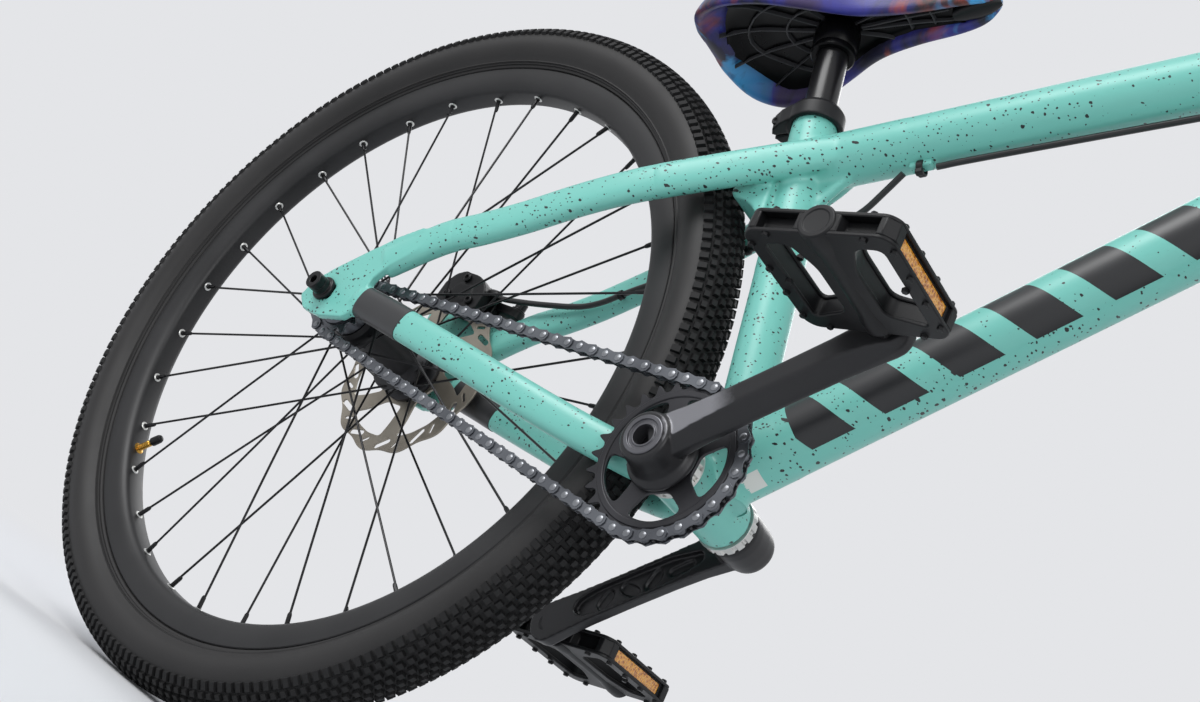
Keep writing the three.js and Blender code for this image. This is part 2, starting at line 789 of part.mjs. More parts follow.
const barCount = barSpanShares.length;
const barRoute = [];
const barRadii = [];
for (let i = barCount - 1; i > 0; i -= 1) {
  barRoute.push(barSpot(i, -1));
  barRadii.push(barEndRadius + (barRadius - barEndRadius) * barThickShares[i]);
}
for (let i = 1; i < barCount; i += 1) {
  barRoute.push(barSpot(i, 1));
  barRadii.push(barEndRadius + (barRadius - barEndRadius) * barThickShares[i]);
}
function barSkin(inset, extra) {
  const rings = barRoute.map((p, i) => {
    const before = barRoute[Math.max(i - 1, 0)];
    const after = barRoute[Math.min(i + 1, barRoute.length - 1)];
    const heading = new THREE.Vector3().subVectors(after, before).normalize();
    const spot = p.clone();
    if (i === 0) {
      spot.addScaledVector(heading, -extra);
    }
    if (i === barRoute.length - 1) {
      spot.addScaledVector(heading, extra);
    }
    const up = new THREE.Vector3().crossVectors(heading, steerAhead).normalize();
    const ahead = new THREE.Vector3().crossVectors(up, heading).normalize();
    const ring = [];
    for (let k = 0; k < 8; k += 1) {
      const a = (turn * k) / 8;
      const q = spot.clone();
      q.addScaledVector(up, (barRadii[i] - inset) * Math.cos(a));
      q.addScaledVector(ahead, (barRadii[i] - inset) * Math.sin(a));
      ring.push(q);
    }
    return ring;
  });
  return loft(rings);
}
const handlebar = barSkin(0, 0).subtract(barSkin(barWall, barWall));
addPiece('handlebar', handlebar, black, 0.45, 0.5);

const halfClamp = stemClampWidth / 2;
const stemClampSolid = rod(
  new THREE.Vector3(barCentre.x, -halfClamp, barCentre.z),
  new THREE.Vector3(barCentre.x, halfClamp, barCentre.z),
  stemClampRadius,
  16,
);
const stemBarBore = rod(
  new THREE.Vector3(barCentre.x, -halfClamp - barRadius, barCentre.z),
  new THREE.Vector3(barCentre.x, halfClamp + barRadius, barCentre.z),
  barRadius + seamGap + axleClearance / 2,
  16,
);
const stemCollar = rod(steer(stemBase), steer(stemBase + stemHeight), stemRadius, 16);
const stemNeck = bar([
  steer(stemMiddle, 0, 0),
  steer(stemMiddle, stemReach, 0),
], [[stemRadius * 0.8, stemHeight * 0.42], [stemRadius, stemHeight * 0.42]], 12);
const stemBore = rod(steer(stemBase - cupFlange), steer(stemBase + stemHeight + cupFlange), steererRadius + seamGap, 16);
addPiece('stem', joined([stemCollar, stemNeck, stemClampSolid]).subtract(stemBore).subtract(stemBarBore), black, 0.45, 0.5);
addPiece('stem_top_cap', turned([
  [seamGap, 0],
  [seamGap, stemRadius],
  [topCapThickness, stemRadius - topCapThickness / 2],
  [topCapThickness, 0],
], steer(stemBase + stemHeight), steerUp, 20), black, 0.4, 0.6);

const gripStartShare = 1 - gripLength / (barWidth / 2 - barWidth * barSpanShares[4] / 2);
['right', 'left'].forEach((side, k) => {
  const sideSign = k === 0 ? -1 : 1;
  const inner = barSpot(4, sideSign);
  const outer = barSpot(5, sideSign);
  const start = inner.clone().lerp(outer, gripStartShare);
  const heading = new THREE.Vector3().subVectors(outer, start).normalize();
  const length = start.distanceTo(outer);
  addPiece(`grip_${side}`, turned([
    [0, gripFlangeRadius],
    [gripFlangeThickness, gripFlangeRadius],
    [gripFlangeThickness * 2, gripRadius],
    [length - gripFlangeThickness, gripRadius + seamGap],
    [length + seamGap + barWall, gripRadius],
    [length + seamGap + barWall, 0],
    [length + seamGap, 0],
    [length + seamGap, barEndRadius + seamGap + axleClearance],
    [0, barEndRadius + seamGap + axleClearance],
  ], start, heading, 10), black, 0.9, 0);
});

// Brake master, lever and hose.
const barInner = barSpot(4, -1);
const barOuter = barSpot(5, -1);
const gripStart = barInner.clone().lerp(barOuter, gripStartShare);
const barHeading = new THREE.Vector3().subVectors(barOuter, barInner).normalize();
const clampSpot = gripStart.clone().addScaledVector(barHeading, -masterBackset);
const clampEnd = clampSpot.clone().addScaledVector(barHeading, masterClampWidth);
const leverUp = new THREE.Vector3().crossVectors(barHeading, steerAhead).normalize();
if (leverUp.z < 0) {
  leverUp.negate();
}
const leverAhead = new THREE.Vector3().crossVectors(leverUp, barHeading).normalize();
if (leverAhead.x < 0) {
  leverAhead.negate();
}
const masterClamp = rod(clampSpot, clampEnd, masterClampRadius, 12);
const masterBore = barSkin(-seamGap, 0);
const masterSpot = clampSpot.clone();
masterSpot.addScaledVector(leverAhead, masterClampRadius + masterRadius * 0.7);
const masterFrom = masterSpot.clone().addScaledVector(barHeading, -masterLength * 0.55);
const masterTo = masterSpot.clone().addScaledVector(barHeading, masterLength * 0.45);
const master = rod(masterFrom, masterTo, masterRadius, 10);
addPiece('brake_master', masterClamp.add(master).subtract(masterBore), black, 0.35, 0.5);

const pivot = masterTo.clone();
pivot.addScaledVector(barHeading, leverThickness * 0.75);
const leverRoute = [
  pivot.clone().addScaledVector(barHeading, -leverThickness * 0.4),
  pivot.clone().addScaledVector(barHeading, leverLength * 0.25).addScaledVector(leverAhead, leverStandoff * 0.62),
  pivot.clone().addScaledVector(barHeading, leverLength * 0.6).addScaledVector(leverAhead, leverStandoff * 0.66),
  pivot.clone().addScaledVector(barHeading, leverLength).addScaledVector(leverAhead, leverStandoff * 0.88),
];
const leverHalves = leverRoute.map(() => [leverThickness / 2, leverHeight / 2]);
addPiece('brake_lever', bar(leverRoute, leverHalves, 8), black, 0.35, 0.5);

const hoseStart = masterFrom.clone().addScaledVector(barHeading, -seamGap);
const guideFront = guideMiddle.clone().addScaledVector(topHeading, guideLength / 2 + seamGap);
const guideRear = guideMiddle.clone().addScaledVector(topHeading, -guideLength / 2 - hoseRadius);
const loopControl = [
  hoseStart,
  hoseStart.clone().addScaledVector(barHeading, -masterLength).addScaledVector(steerUp, -masterRadius),
  steer(headTop - headTubeLipHeight, forkOffset * 1.9, -stanchionSpread),
  steer(headTop - headTubeLength * 0.35, forkOffset * 1.3, stemRadius),
  steer(headTop - headTubeLength * 0.45, -stemReach * 0.3, headTubeRadius * 1.55),
  topStart.clone().lerp(topEnd, 0.82).addScaledVector(topDown, topTubeRadius * 0.8)
    .add(new THREE.Vector3(0, topTubeRadius * 1.15, 0)),
  topStart.clone().lerp(topEnd, 0.62).addScaledVector(topDown, hoseDrop)
    .add(new THREE.Vector3(0, topTubeRadius * 0.4, 0)),
  guideFront.clone().addScaledVector(topHeading, guideLength),
  guideFront,
];
const hoseStepsFront = 28;
const frontCurve = new THREE.CatmullRomCurve3(loopControl, false, 'centripetal');
const frontHose = frontCurve.getPoints(hoseStepsFront);
addPiece('brake_hose_front', roundBar(frontHose, frontHose.map(() => hoseRadius), 4), black, 0.6, 0);

const seatAhead = new THREE.Vector3(Math.sin(seatAngle), 0, Math.cos(seatAngle));
const hoseRise = topTubeSeatRise - 2 * topTubeRadius;
const hoseBelow = alongSeat(hoseRise, topTubeRadius * 0.68).addScaledVector(seatAhead, seatTubeRadius * 2.5);
const hoseBeside = alongSeat(hoseRise, seatTubeRadius + 3 * hoseRadius);
const rearHoseShares = [
  [0.7, 0.454, 0.497],
  [0.6, 0.51, 0.428],
  [0.46, 0.641, 0.352],
  [0.36, 0.715, 0.29],
  [0.26, 0.726, 0.262],
];
const caliperSpot = new THREE.Vector3(rearAxle.x + 0.012 * chainstayReach, rotorOffset, rearAxle.z + rotorRadius);
const caliperTop = caliperSpot.z + caliperHeight * 0.58;
const caliperFront = caliperSpot.x + caliperLength / 2;
const hosePort = new THREE.Vector3(caliperFront + seamGap, rotorOffset - hoseRadius, caliperTop - caliperHeight / 4);
const hoseLead = hosePort.clone().add(new THREE.Vector3(caliperLength / 4, 0, 0));
const rearControl = [guideRear, hoseBelow, hoseBeside].concat(stayRoute(rearHoseShares, 1), [hoseLead, hosePort]);
const rearCurve = new THREE.CatmullRomCurve3(rearControl, false, 'centripetal');
const rearHose = rearCurve.getPoints(22);
addPiece('brake_hose_rear', roundBar(rearHose, rearHose.map(() => hoseRadius), 4), black, 0.6, 0);
addPiece('hose_guide', guideBlock, black, 0.6, 0.1);

const caliperLow = caliperTop - caliperHeight;
const caliperBlock = blockAt(
  new THREE.Vector3(caliperSpot.x, rotorOffset, (caliperTop + caliperLow) / 2),
  caliperLength,
  caliperWidth,
  caliperHeight,
);
const mouth = blockAt(
  new THREE.Vector3(caliperSpot.x, rotorOffset, caliperLow + caliperHeight * 0.25),
  caliperLength * 2,
  caliperMouth,
  caliperHeight * 0.62,
);
const earHeight = mountPadThickness * 1.3;
const earMiddle = axleHeight + brakeTabShare * chainstayReach + seamGap + earHeight / 2;
const earLeft = rotorOffset + caliperWidth / 2 - mountPadThickness / 4;
const ears = blockAt(
  new THREE.Vector3(caliperSpot.x, earLeft, earMiddle),
  caliperLength * 1.95,
  mountPadThickness * 1.6,
  earHeight,
);
const caliperBolts = [-1, 1].map((end) => rod(
  new THREE.Vector3(caliperSpot.x + end * caliperLength * 0.86, earLeft, earMiddle),
  new THREE.Vector3(caliperSpot.x + end * caliperLength * 0.86, earLeft, caliperTop + seamGap),
  caliperBoltRadius,
  10,
));
addPiece('brake_caliper', joined([caliperBlock.subtract(mouth), ears].concat(caliperBolts)), black, 0.4, 0.5);
['inner', 'outer'].forEach((side, k) => {
  const sideSign = k === 0 ? -1 : 1;
  const offset = rotorThickness / 2 + padGap + padThickness / 2;
  addPiece(`brake_pad_${side}`, blockAt(
    new THREE.Vector3(caliperSpot.x, rotorOffset + sideSign * offset, caliperLow + padHeight / 2),
    padWidth,
    padThickness,
    padHeight,
  ), steel, 0.7, 0.5);
});

// Seat post, clamp and saddle.
addPiece('seat_post', rod(alongSeat(seatTubeRise - postInsertLength), alongSeat(seatTubeRise + postShowLength), postRadius, 16), black, 0.2, 0.4);
const clampFoot = seatTubeRise - clampHeight + clampWall;
const clampRing = rod(alongSeat(clampFoot), alongSeat(clampFoot + clampHeight), seatTubeRadius + clampWall, 16);
const clampLug = alongSeat(clampFoot + clampHeight / 2);
clampLug.addScaledVector(steerAhead, -seatTubeRadius - clampLugDepth / 2);
const lugBlock = blockAt(clampLug, clampLugDepth, clampLugWidth, clampLugHeight, Math.PI / 2 - seatAngle);
const clampBore = rod(alongSeat(clampFoot - clampHeight), alongSeat(seatTubeRise + seamGap), seatTubeRadius + seamGap, 16);
const clampLipBore = rod(alongSeat(clampFoot), alongSeat(clampFoot + 2 * clampHeight), postRadius + 2 * seamGap, 16);
const clampSlitBlock = blockAt(clampLug, clampLugDepth * 3.2, clampSlit, clampLugHeight * 3, Math.PI / 2 - seatAngle);
const slitShift = new THREE.Vector3(-clampLugDepth * 0.5, 0, 0);
clampSlitBlock.translate([slitShift.x, 0, 0]);
addPiece('seat_clamp', clampRing.add(lugBlock).subtract(clampBore).subtract(clampLipBore)
  .subtract(clampSlitBlock.translate([slitShift.x, 0, 0])), black, 0.5, 0.4);

const postTop = seatTubeRise + postShowLength;
const postHead = alongSeat(postTop);
const alongShares = [0, 0.05, 0.12, 0.22, 0.35, 0.48, 0.6, 0.74, 0.88, 0.96, 1];
const halfWidthShares = [0.34, 0.7, 0.9, 1, 0.93, 0.68, 0.44, 0.32, 0.27, 0.21, 0.1];
const crownShares = [0.05, 0.42, 0.6, 0.62, 0.5, 0.42, 0.4, 0.42, 0.42, 0.32, 0.05];
const skirtShares = [0.2, 0.42, 0.6, 0.75, 0.8, 0.72, 0.62, 0.55, 0.5, 0.4, 0.2];
const hollowShares = [0, 0.4, 1, 1, 1, 1, 1, 1, 0.8, 0.3, 0];

function saddleArc(i, inset, count) {
  const x = postHead.x - saddleSetback + saddleLength * alongShares[i];
  const base = postHead.z + saddleTailLift + saddleNoseRise * alongShares[i];
  const low = base - saddleSkirt * skirtShares[i];
  const high = base + saddlePadThickness * crownShares[i] - inset * hollowShares[i];
  const half = Math.max((saddleWidth / 2) * halfWidthShares[i] - inset * hollowShares[i] * 0.5, inset * 0.2);
  const list = [];
  for (let k = 0; k <= count; k += 1) {
    const a = Math.PI * (k / count - 0.5);
    const y = half * Math.sign(Math.sin(a)) * Math.abs(Math.sin(a)) ** 0.6;
    const z = low + (high - low) * Math.cos(a) ** 0.55;
    list.push(new THREE.Vector3(x, y, z));
  }
  return list;
}

const padDepth = saddlePadThickness * 0.5;
const padRings = alongShares.map((share, i) => {
  const over = saddleArc(i, 0, 12);
  const under = saddleArc(i, padDepth + (1 - hollowShares[i]) * padDepth, 8).reverse();
  const low = over[0].z;
  const room = hollowShares[i];
  const inner = under.map((p) => new THREE.Vector3(
    p.x,
    Math.sign(p.y) * Math.max(Math.min(Math.abs(p.y), Math.abs(over[0].y) - padDepth / 3), 0),
    low + (p.z - low) * room,
  ));
  return over.concat(inner);
});
addPiece('saddle_pad', loft(padRings), 0x3b3f9c, 0.6, 0);

const shellFirst = 2;
const shellLast = alongShares.length - 4;
const shellRings = [];
for (let i = shellFirst; i <= shellLast; i += 1) {
  const top = saddleArc(i, padDepth + saddleShellGap, 8);
  const bottom = saddleArc(i, padDepth + saddleShellGap + saddleShellThickness, 8).reverse();
  const edge = padDepth / 3 + saddleShellGap;
  const limit = (saddleWidth / 2) * halfWidthShares[i] - edge;
  const fit = (p, cut) => new THREE.Vector3(
    p.x,
    Math.sign(p.y) * Math.min(Math.abs(p.y), limit - cut),
    p.z,
  );
  shellRings.push(top.map((p) => fit(p, 0)).concat(bottom.map((p) => fit(p, saddleShellThickness))));
}
const padBody = loft(padRings);
const shellSkin = loft(shellRings);
const boss = rod(alongSeat(postTop - saddleBossLength * 0.7), alongSeat(postTop + saddleBossLength * 0.45), saddleBossRadius, 20);
const bossBore = rod(alongSeat(postTop - saddleBossLength), alongSeat(postTop + seamGap), postRadius + seamGap, 16);
addPiece('saddle_shell', shellSkin.add(boss.subtract(padBody.translate([0, 0, -2 * seamGap]))).subtract(bossBore), black, 0.5, 0.1);

// Wheels.
function onWheel(centre, radius, angle, left) {
  return new THREE.Vector3(centre.x + radius * Math.cos(angle), left, centre.z + radius * Math.sin(angle));
}

function spokeSet(centre, flangeLeft, sideSign) {
  const solids = [];
  const step = turn / spokeCount;
  const lean = 3 * 2 * step;
  const root = flangeRadius + spokeThickness / 2 + seamGap;
  const half = spokeThickness * 0.62;
  const rimOffset = (sideSign * rimFloorWidth) / 12;
  for (let k = 0; k < spokeCount / 2; k += 1) {
    const n = 2 * k + (sideSign > 0 ? 1 : 0);
    const rimAngle = spokePhase + n * step;
    const hubAngle = rimAngle + (k % 2 === 0 ? lean : -lean);
    const lace = spokeThickness * (k % 2 === 0 ? 0.5 : -0.5);
    const from = onWheel(centre, root, hubAngle, flangeLeft + lace);
    const to = onWheel(centre, rimInnerRadius - seamGap, rimAngle, rimOffset);
    solids.push(roundBar([from, to], [half, half], 3));
  }
  return joined(solids);
}

function wheel(prefix, centre, flangeRight, flangeLeft, hubProfile) {
  const outer = axleHeight;
  const middle = outer - tyreHeight / 2;
  const bead = rimRadius - rimBedDepth + seamGap * 3;
  const wall = rimWidth / 2 - rimWall - seamGap;
  const side = [
    [wall, bead],
    [wall, rimRadius + rimWall * 0.7],
    [tyreWidth * 0.475, middle - tyreHeight * 0.14],
    [tyreWidth * 0.46, middle + tyreHeight * 0.2],
    [tyreWidth * 0.18, outer],
  ];
  const inside = [
    [tyreWidth * 0.14, outer - casingThickness],
    [tyreWidth * 0.47 - casingThickness, middle],
    [wall - casingThickness, bead],
  ];
  const tyreProfile = side.concat(
    side.slice().reverse().map(([y, r]) => [-y, r]),
    inside.slice().reverse().map(([y, r]) => [-y, r]),
    inside,
  );
  addPiece(`${prefix}_tyre`, turned(tyreProfile, centre, yAxis, 32), black, 0.9, 0);
  const halfRim = rimWidth / 2;
  const bed = rimRadius - rimBedDepth;
  addPiece(`${prefix}_rim`, turned([
    [halfRim, rimRadius],
    [halfRim - rimWall, rimRadius],
    [halfRim - rimWall, bed],
    [rimFloorWidth / 2 - rimWall, rimInnerRadius + rimWall],
    [-rimFloorWidth / 2 + rimWall, rimInnerRadius + rimWall],
    [-halfRim + rimWall, bed],
    [-halfRim + rimWall, rimRadius],
    [-halfRim, rimRadius],
    [-rimFloorWidth / 2, rimInnerRadius],
    [rimFloorWidth / 2, rimInnerRadius],
  ], centre, yAxis, spokeCount, Math.PI / 2 - spokePhase), black, 0.6, 0.4);
  addPiece(`${prefix}_spokes_right`, spokeSet(centre, -flangeRight, -1), black, 0.4, 0.7);
  addPiece(`${prefix}_spokes_left`, spokeSet(centre, flangeLeft, 1), black, 0.4, 0.7);
  addPiece(`${prefix}_hub`, turned(hubProfile, centre, yAxis, 12), black, 0.35, 0.6);
}

function flangeSteps(at) {
  const half = flangeThickness / 2;
  return [
    [at - half, hubBarrelRadius + flangeThickness],
    [at - half, flangeRadius],
    [at + half, flangeRadius],
    [at + half, hubBarrelRadius + flangeThickness],
  ];
}

const rearEnd = rearHubWidth / 2 - seamGap;
const driverEnd = rearFlangeRightOffset + flangeThickness * 2.5;
const rotorSeat = rotorOffset - rotorThickness / 2 - seamGap;
const rearBore = rearAxleRadius + axleClearance;
wheel('rear', rearAxle, rearFlangeRightOffset, rearFlangeLeftOffset, [
  [-driverEnd, hubEndRadius * 2],
  ...flangeSteps(-rearFlangeRightOffset),
  ...flangeSteps(rearFlangeLeftOffset),
  [rotorSeat - flangeThickness * 2, hubBarrelRadius + flangeThickness],
  [rotorSeat - flangeThickness, rotorHubRadius],
  [rotorSeat, rotorHubRadius],
  [rotorSeat, rotorBoreRadius - axleClearance],
  [rotorOffset + rotorThickness, rotorBoreRadius - axleClearance],
  [rotorOffset + rotorThickness * 2, hubEndRadius],
  [rearEnd, hubEndRadius],
  [rearEnd, rearBore],
  [-driverEnd, rearBore],
]);
const frontEnd = frontHubWidth / 2 - seamGap;
wheel('front', frontAxle, frontFlangeOffset, frontFlangeOffset, [
  [-frontEnd, hubBarrelRadius],
  ...flangeSteps(-frontFlangeOffset),
  ...flangeSteps(frontFlangeOffset),
  [frontEnd, hubBarrelRadius],
  [frontEnd, frontAxleRadius + axleClearance],
  [-frontEnd, frontAxleRadius + axleClearance],
]);

// Rotor.
const rotorPoints = [];
const rotorWaves = 7;
for (let i = 0; i < rotorWaves * 4; i += 1) {
  const a = (turn * i) / (rotorWaves * 4);
  const r = rotorRadius - rotorWave * (1 - Math.cos((i * Math.PI) / 2));
  rotorPoints.push([r * Math.cos(a), r * Math.sin(a)]);
}
const rotorHoles = [circlePoints(rotorBoreRadius, 12)];
const armCount = 6;
for (let i = 0; i < armCount; i += 1) {
  const a = (turn * i) / armCount;
  const inner = rotorHubRadius + rotorSlotWidth;
  const outer = rotorRadius - rotorTrackWidth;
  const spread = turn / armCount;
  const hole = [];
  [[inner, 0.0], [inner, 0.55], [outer, 0.98], [outer, 0.6], [outer, 0.22]].forEach(([r, share]) => {
    hole.push([r * Math.cos(a + spread * share), r * Math.sin(a + spread * share)]);
  });
  rotorHoles.push(hole);
}
const slotCount = 10;
for (let i = 0; i < slotCount; i += 1) {
  const a = (turn * (i + 0.5)) / slotCount;
  const low = rotorRadius - rotorTrackWidth + rotorSlotWidth;
  const high = rotorRadius - rotorWave * 2 - rotorSlotWidth;
  const wide = rotorSlotWidth / rotorRadius;
  const lean = wide * 1.4;
  rotorHoles.push([
    [low * Math.cos(a - wide), low * Math.sin(a - wide)],
    [low * Math.cos(a), low * Math.sin(a)],
    [high * Math.cos(a + lean), high * Math.sin(a + lean)],
    [high * Math.cos(a + lean - wide), high * Math.sin(a + lean - wide)],
  ]);
}
const rotorLow = rotorOffset - rotorThickness / 2;
addPiece('rear_rotor', plateXZ(rotorPoints, rotorHoles, rearAxle, rotorLow, rotorLow + rotorThickness), 0x8a8178, 0.35, 0.9);

// Rear axle with its outer bolts.
const outerFace = dropoutFace + dropoutThickness + seamGap;
const axleParts = [rod(
  new THREE.Vector3(rearAxle.x, -outerFace - boltFlangeThickness, rearAxle.z),
  new THREE.Vector3(rearAxle.x, outerFace + boltFlangeThickness, rearAxle.z),
  rearAxleRadius,
  12,
)];
[-1, 1].forEach((sideSign) => {
  const spot = (out) => new THREE.Vector3(rearAxle.x, sideSign * out, rearAxle.z);
  const flange = rod(spot(outerFace), spot(outerFace + boltFlangeThickness), boltFlangeRadius, 12);
  const barrel = rod(spot(outerFace), spot(outerFace + boltBarrelLength), boltBarrelRadius, 12);
  const socket = rod(
    spot(outerFace + boltBarrelLength - boltSocketDepth),
    spot(outerFace + boltBarrelLength + boltSocketDepth),
    boltSocketRadius,
    6,
  );
  axleParts.push(flange.add(barrel).subtract(socket));
});
addPiece('rear_axle', joined(axleParts), black, 0.4, 0.5);

// Chain line.
const centreSpan = Math.hypot(bracket.x - rearAxle.x, bracket.z - rearAxle.z);
const centreLean = Math.atan2(bracket.z - rearAxle.z, bracket.x - rearAxle.x);

// The chain's length round both toothed wheels for a given pitch.
function chainRound(onePitch) {
  const big = (ringTeeth * onePitch) / turn;
  const small = (sprocketTeeth * onePitch) / turn;
  const tilt = Math.asin((big - small) / centreSpan);
  return 2 * Math.sqrt(centreSpan ** 2 - (big - small) ** 2)
    + big * (Math.PI + 2 * tilt) + small * (Math.PI - 2 * tilt);
}

// A whole number of links fits, and the axle's slot takes up the rest, here as a trace of pitch.
const chainLinks = Math.round(chainRound(chainPitch) / chainPitch);
let pitch = chainPitch;
for (let i = 0; i < 40; i += 1) {
  pitch = chainRound(pitch) / chainLinks;
}
const ringPitchRadius = (ringTeeth * pitch) / turn;
const sprocketPitchRadius = (sprocketTeeth * pitch) / turn;
const beltTilt = Math.asin((ringPitchRadius - sprocketPitchRadius) / centreSpan);
const straight = Math.sqrt(centreSpan ** 2 - (ringPitchRadius - sprocketPitchRadius) ** 2);
const upperNormal = centreLean + Math.PI / 2 + beltTilt;
const lowerNormal = centreLean - Math.PI / 2 - beltTilt;
const ringArc = ringPitchRadius * (Math.PI + 2 * beltTilt);
const sprocketArc = sprocketPitchRadius * (Math.PI - 2 * beltTilt);

// A spot on the chain line: distance from the ring's upper contact, going forward.
function chainSpot(distance) {
  const around = 2 * straight + ringArc + sprocketArc;
  let s = ((distance % around) + around) % around;
  if (s < ringArc) {
    const a = upperNormal - s / ringPitchRadius;
    return { centre: bracket, radius: ringPitchRadius, angle: a, slide: 0 };
  }
  s -= ringArc;
  if (s < straight) {
    return { centre: bracket, radius: ringPitchRadius, angle: lowerNormal, slide: s };
  }
  s -= straight;
  if (s < sprocketArc) {
    const a = lowerNormal - s / sprocketPitchRadius;
    return { centre: rearAxle, radius: sprocketPitchRadius, angle: a, slide: 0 };
  }
  s -= sprocketArc;
  return { centre: rearAxle, radius: sprocketPitchRadius, angle: upperNormal, slide: s };
}

function chainPoint(spot, out) {
  const r = spot.radius + out;
  const x = spot.centre.x + r * Math.cos(spot.angle) + spot.slide * Math.sin(spot.angle);
  const z = spot.centre.z + r * Math.sin(spot.angle) - spot.slide * Math.cos(spot.angle);
  return [x, z];
}

const pins = [];
for (let i = 0; i < chainLinks; i += 1) {
  pins.push(chainSpot((i + 0.5) * pitch));
}
const bandMarks = [];
for (let i = 0; i < chainLinks; i += 1) {
  if (pins[i].slide === 0) {
    bandMarks.push((i + 0.5) * pitch);
  }
}
[0, ringArc, ringArc + straight, ringArc + straight + sprocketArc].forEach((mark) => bandMarks.push(mark));
bandMarks.sort((a, b) => a - b);
const bandOuter = bandMarks.map((mark) => chainPoint(chainSpot(mark), plateHeight / 2));
const bandInner = bandMarks.map((mark) => chainPoint(chainSpot(mark), -plateHeight / 2));
const noShift = new THREE.Vector3();
const chainParts = [-1, 1].map((sideSign) => {
  const near = sideSign > 0 ? chainInnerWidth / 2 : -chainInnerWidth / 2 - plateThickness;
  const low = near - sprocketOffset;
  const whole = plateXZ(bandOuter, [], noShift, low, low + plateThickness);
  const middle = plateXZ(bandInner, [], noShift, low - plateThickness, low + 2 * plateThickness);
  return whole.subtract(middle);
});
pins.forEach((pin) => {
  const [x, z] = chainPoint(pin, 0);
  const half = chainInnerWidth / 2 + plateThickness / 2;
  chainParts.push(rod(
    new THREE.Vector3(x, -sprocketOffset - half, z),
    new THREE.Vector3(x, -sprocketOffset + half, z),
    rollerRadius,
    4,
  ));
});
addPiece('chain', joined(chainParts), steel, 0.4, 0.8);

function toothOutline(count, pitchRadius, firstPin) {
  const list = [];
  const rootRadius = pitchRadius - rollerRadius - seamGap;
  const tipRadius = pitchRadius + rollerRadius;
  const rootHalf = pitch / 2 - rollerRadius - seamGap;
  const tipHalf = rootHalf * 0.4;
  for (let i = 0; i < count; i += 1) {
    const a = firstPin + (turn * (i + 0.5)) / count;
    [[rootRadius, -rootHalf], [tipRadius, -tipHalf], [tipRadius, tipHalf], [rootRadius, rootHalf]].forEach(([r, h]) => {
      list.push([r * Math.cos(a) - h * Math.sin(a), r * Math.sin(a) + h * Math.cos(a)]);
    });
  }
  return list;
}

const ringPin = pins[Math.floor(ringTeeth / 4)].angle;
const sprocketPin = pins.find((pin) => pin.centre === rearAxle && pin.slide === 0).angle;
const bodyRadius = ringPitchRadius - plateHeight / 2 - seamGap;
const bladeHole = circlePoints(bodyRadius - ringRimWidth / 2, 20);
const halfTooth = toothThickness / 2;
const blade = plateXZ(
  toothOutline(ringTeeth, ringPitchRadius, ringPin),
  [bladeHole],
  bracket,
  -sprocketOffset - halfTooth,
  -sprocketOffset + halfTooth,
);
const ringWindows = [];
const ringArms = 5;
for (let i = 0; i < ringArms; i += 1) {
  const a = crankAngle + (turn * i) / ringArms;
  const outer = bodyRadius - ringRimWidth;
  const inner = ringHubRadius + ringThickness;
  const outerHalf = ringSpokeWidth / 2 / outer;
  const innerHalf = ringSpokeWidth / 2 / inner;
  const span = turn / ringArms;
  const hole = [];
  [0, 0.5, 1].forEach((share) => {
    const b = a + outerHalf + (span - 2 * outerHalf) * share;
    hole.push([outer * Math.cos(b), outer * Math.sin(b)]);
  });
  [1, 0].forEach((share) => {
    const b = a + innerHalf + (span - 2 * innerHalf) * share;
    hole.push([inner * Math.cos(b), inner * Math.sin(b)]);
  });
  ringWindows.push(hole);
}
const halfRing = ringThickness / 2;
const ringBody = plateXZ(
  circlePoints(bodyRadius, 28),
  ringWindows.concat([circlePoints(spindleRadius + seamGap, 16)]),
  bracket,
  -sprocketOffset - halfRing,
  -sprocketOffset + halfRing,
);
addPiece('chainring', ringBody.add(blade), black, 0.4, 0.7);

const cog = plateXZ(
  toothOutline(sprocketTeeth, sprocketPitchRadius, sprocketPin),
  [circlePoints(sprocketBoreRadius - axleClearance, 16)],
  rearAxle,
  -sprocketOffset - halfTooth,
  -sprocketOffset + halfTooth,
);
const driver = turned([
  [-rearEnd, hubEndRadius],
  [-sprocketOffset - ringThickness, hubEndRadius],
  [-sprocketOffset - ringThickness, sprocketBoreRadius],
  [-driverEnd - seamGap, sprocketBoreRadius],
  [-driverEnd - seamGap, rearBore],
  [-rearEnd, rearBore],
], rearAxle, yAxis, 16);
addPiece('rear_sprocket', cog.add(driver), steel, 0.4, 0.8);

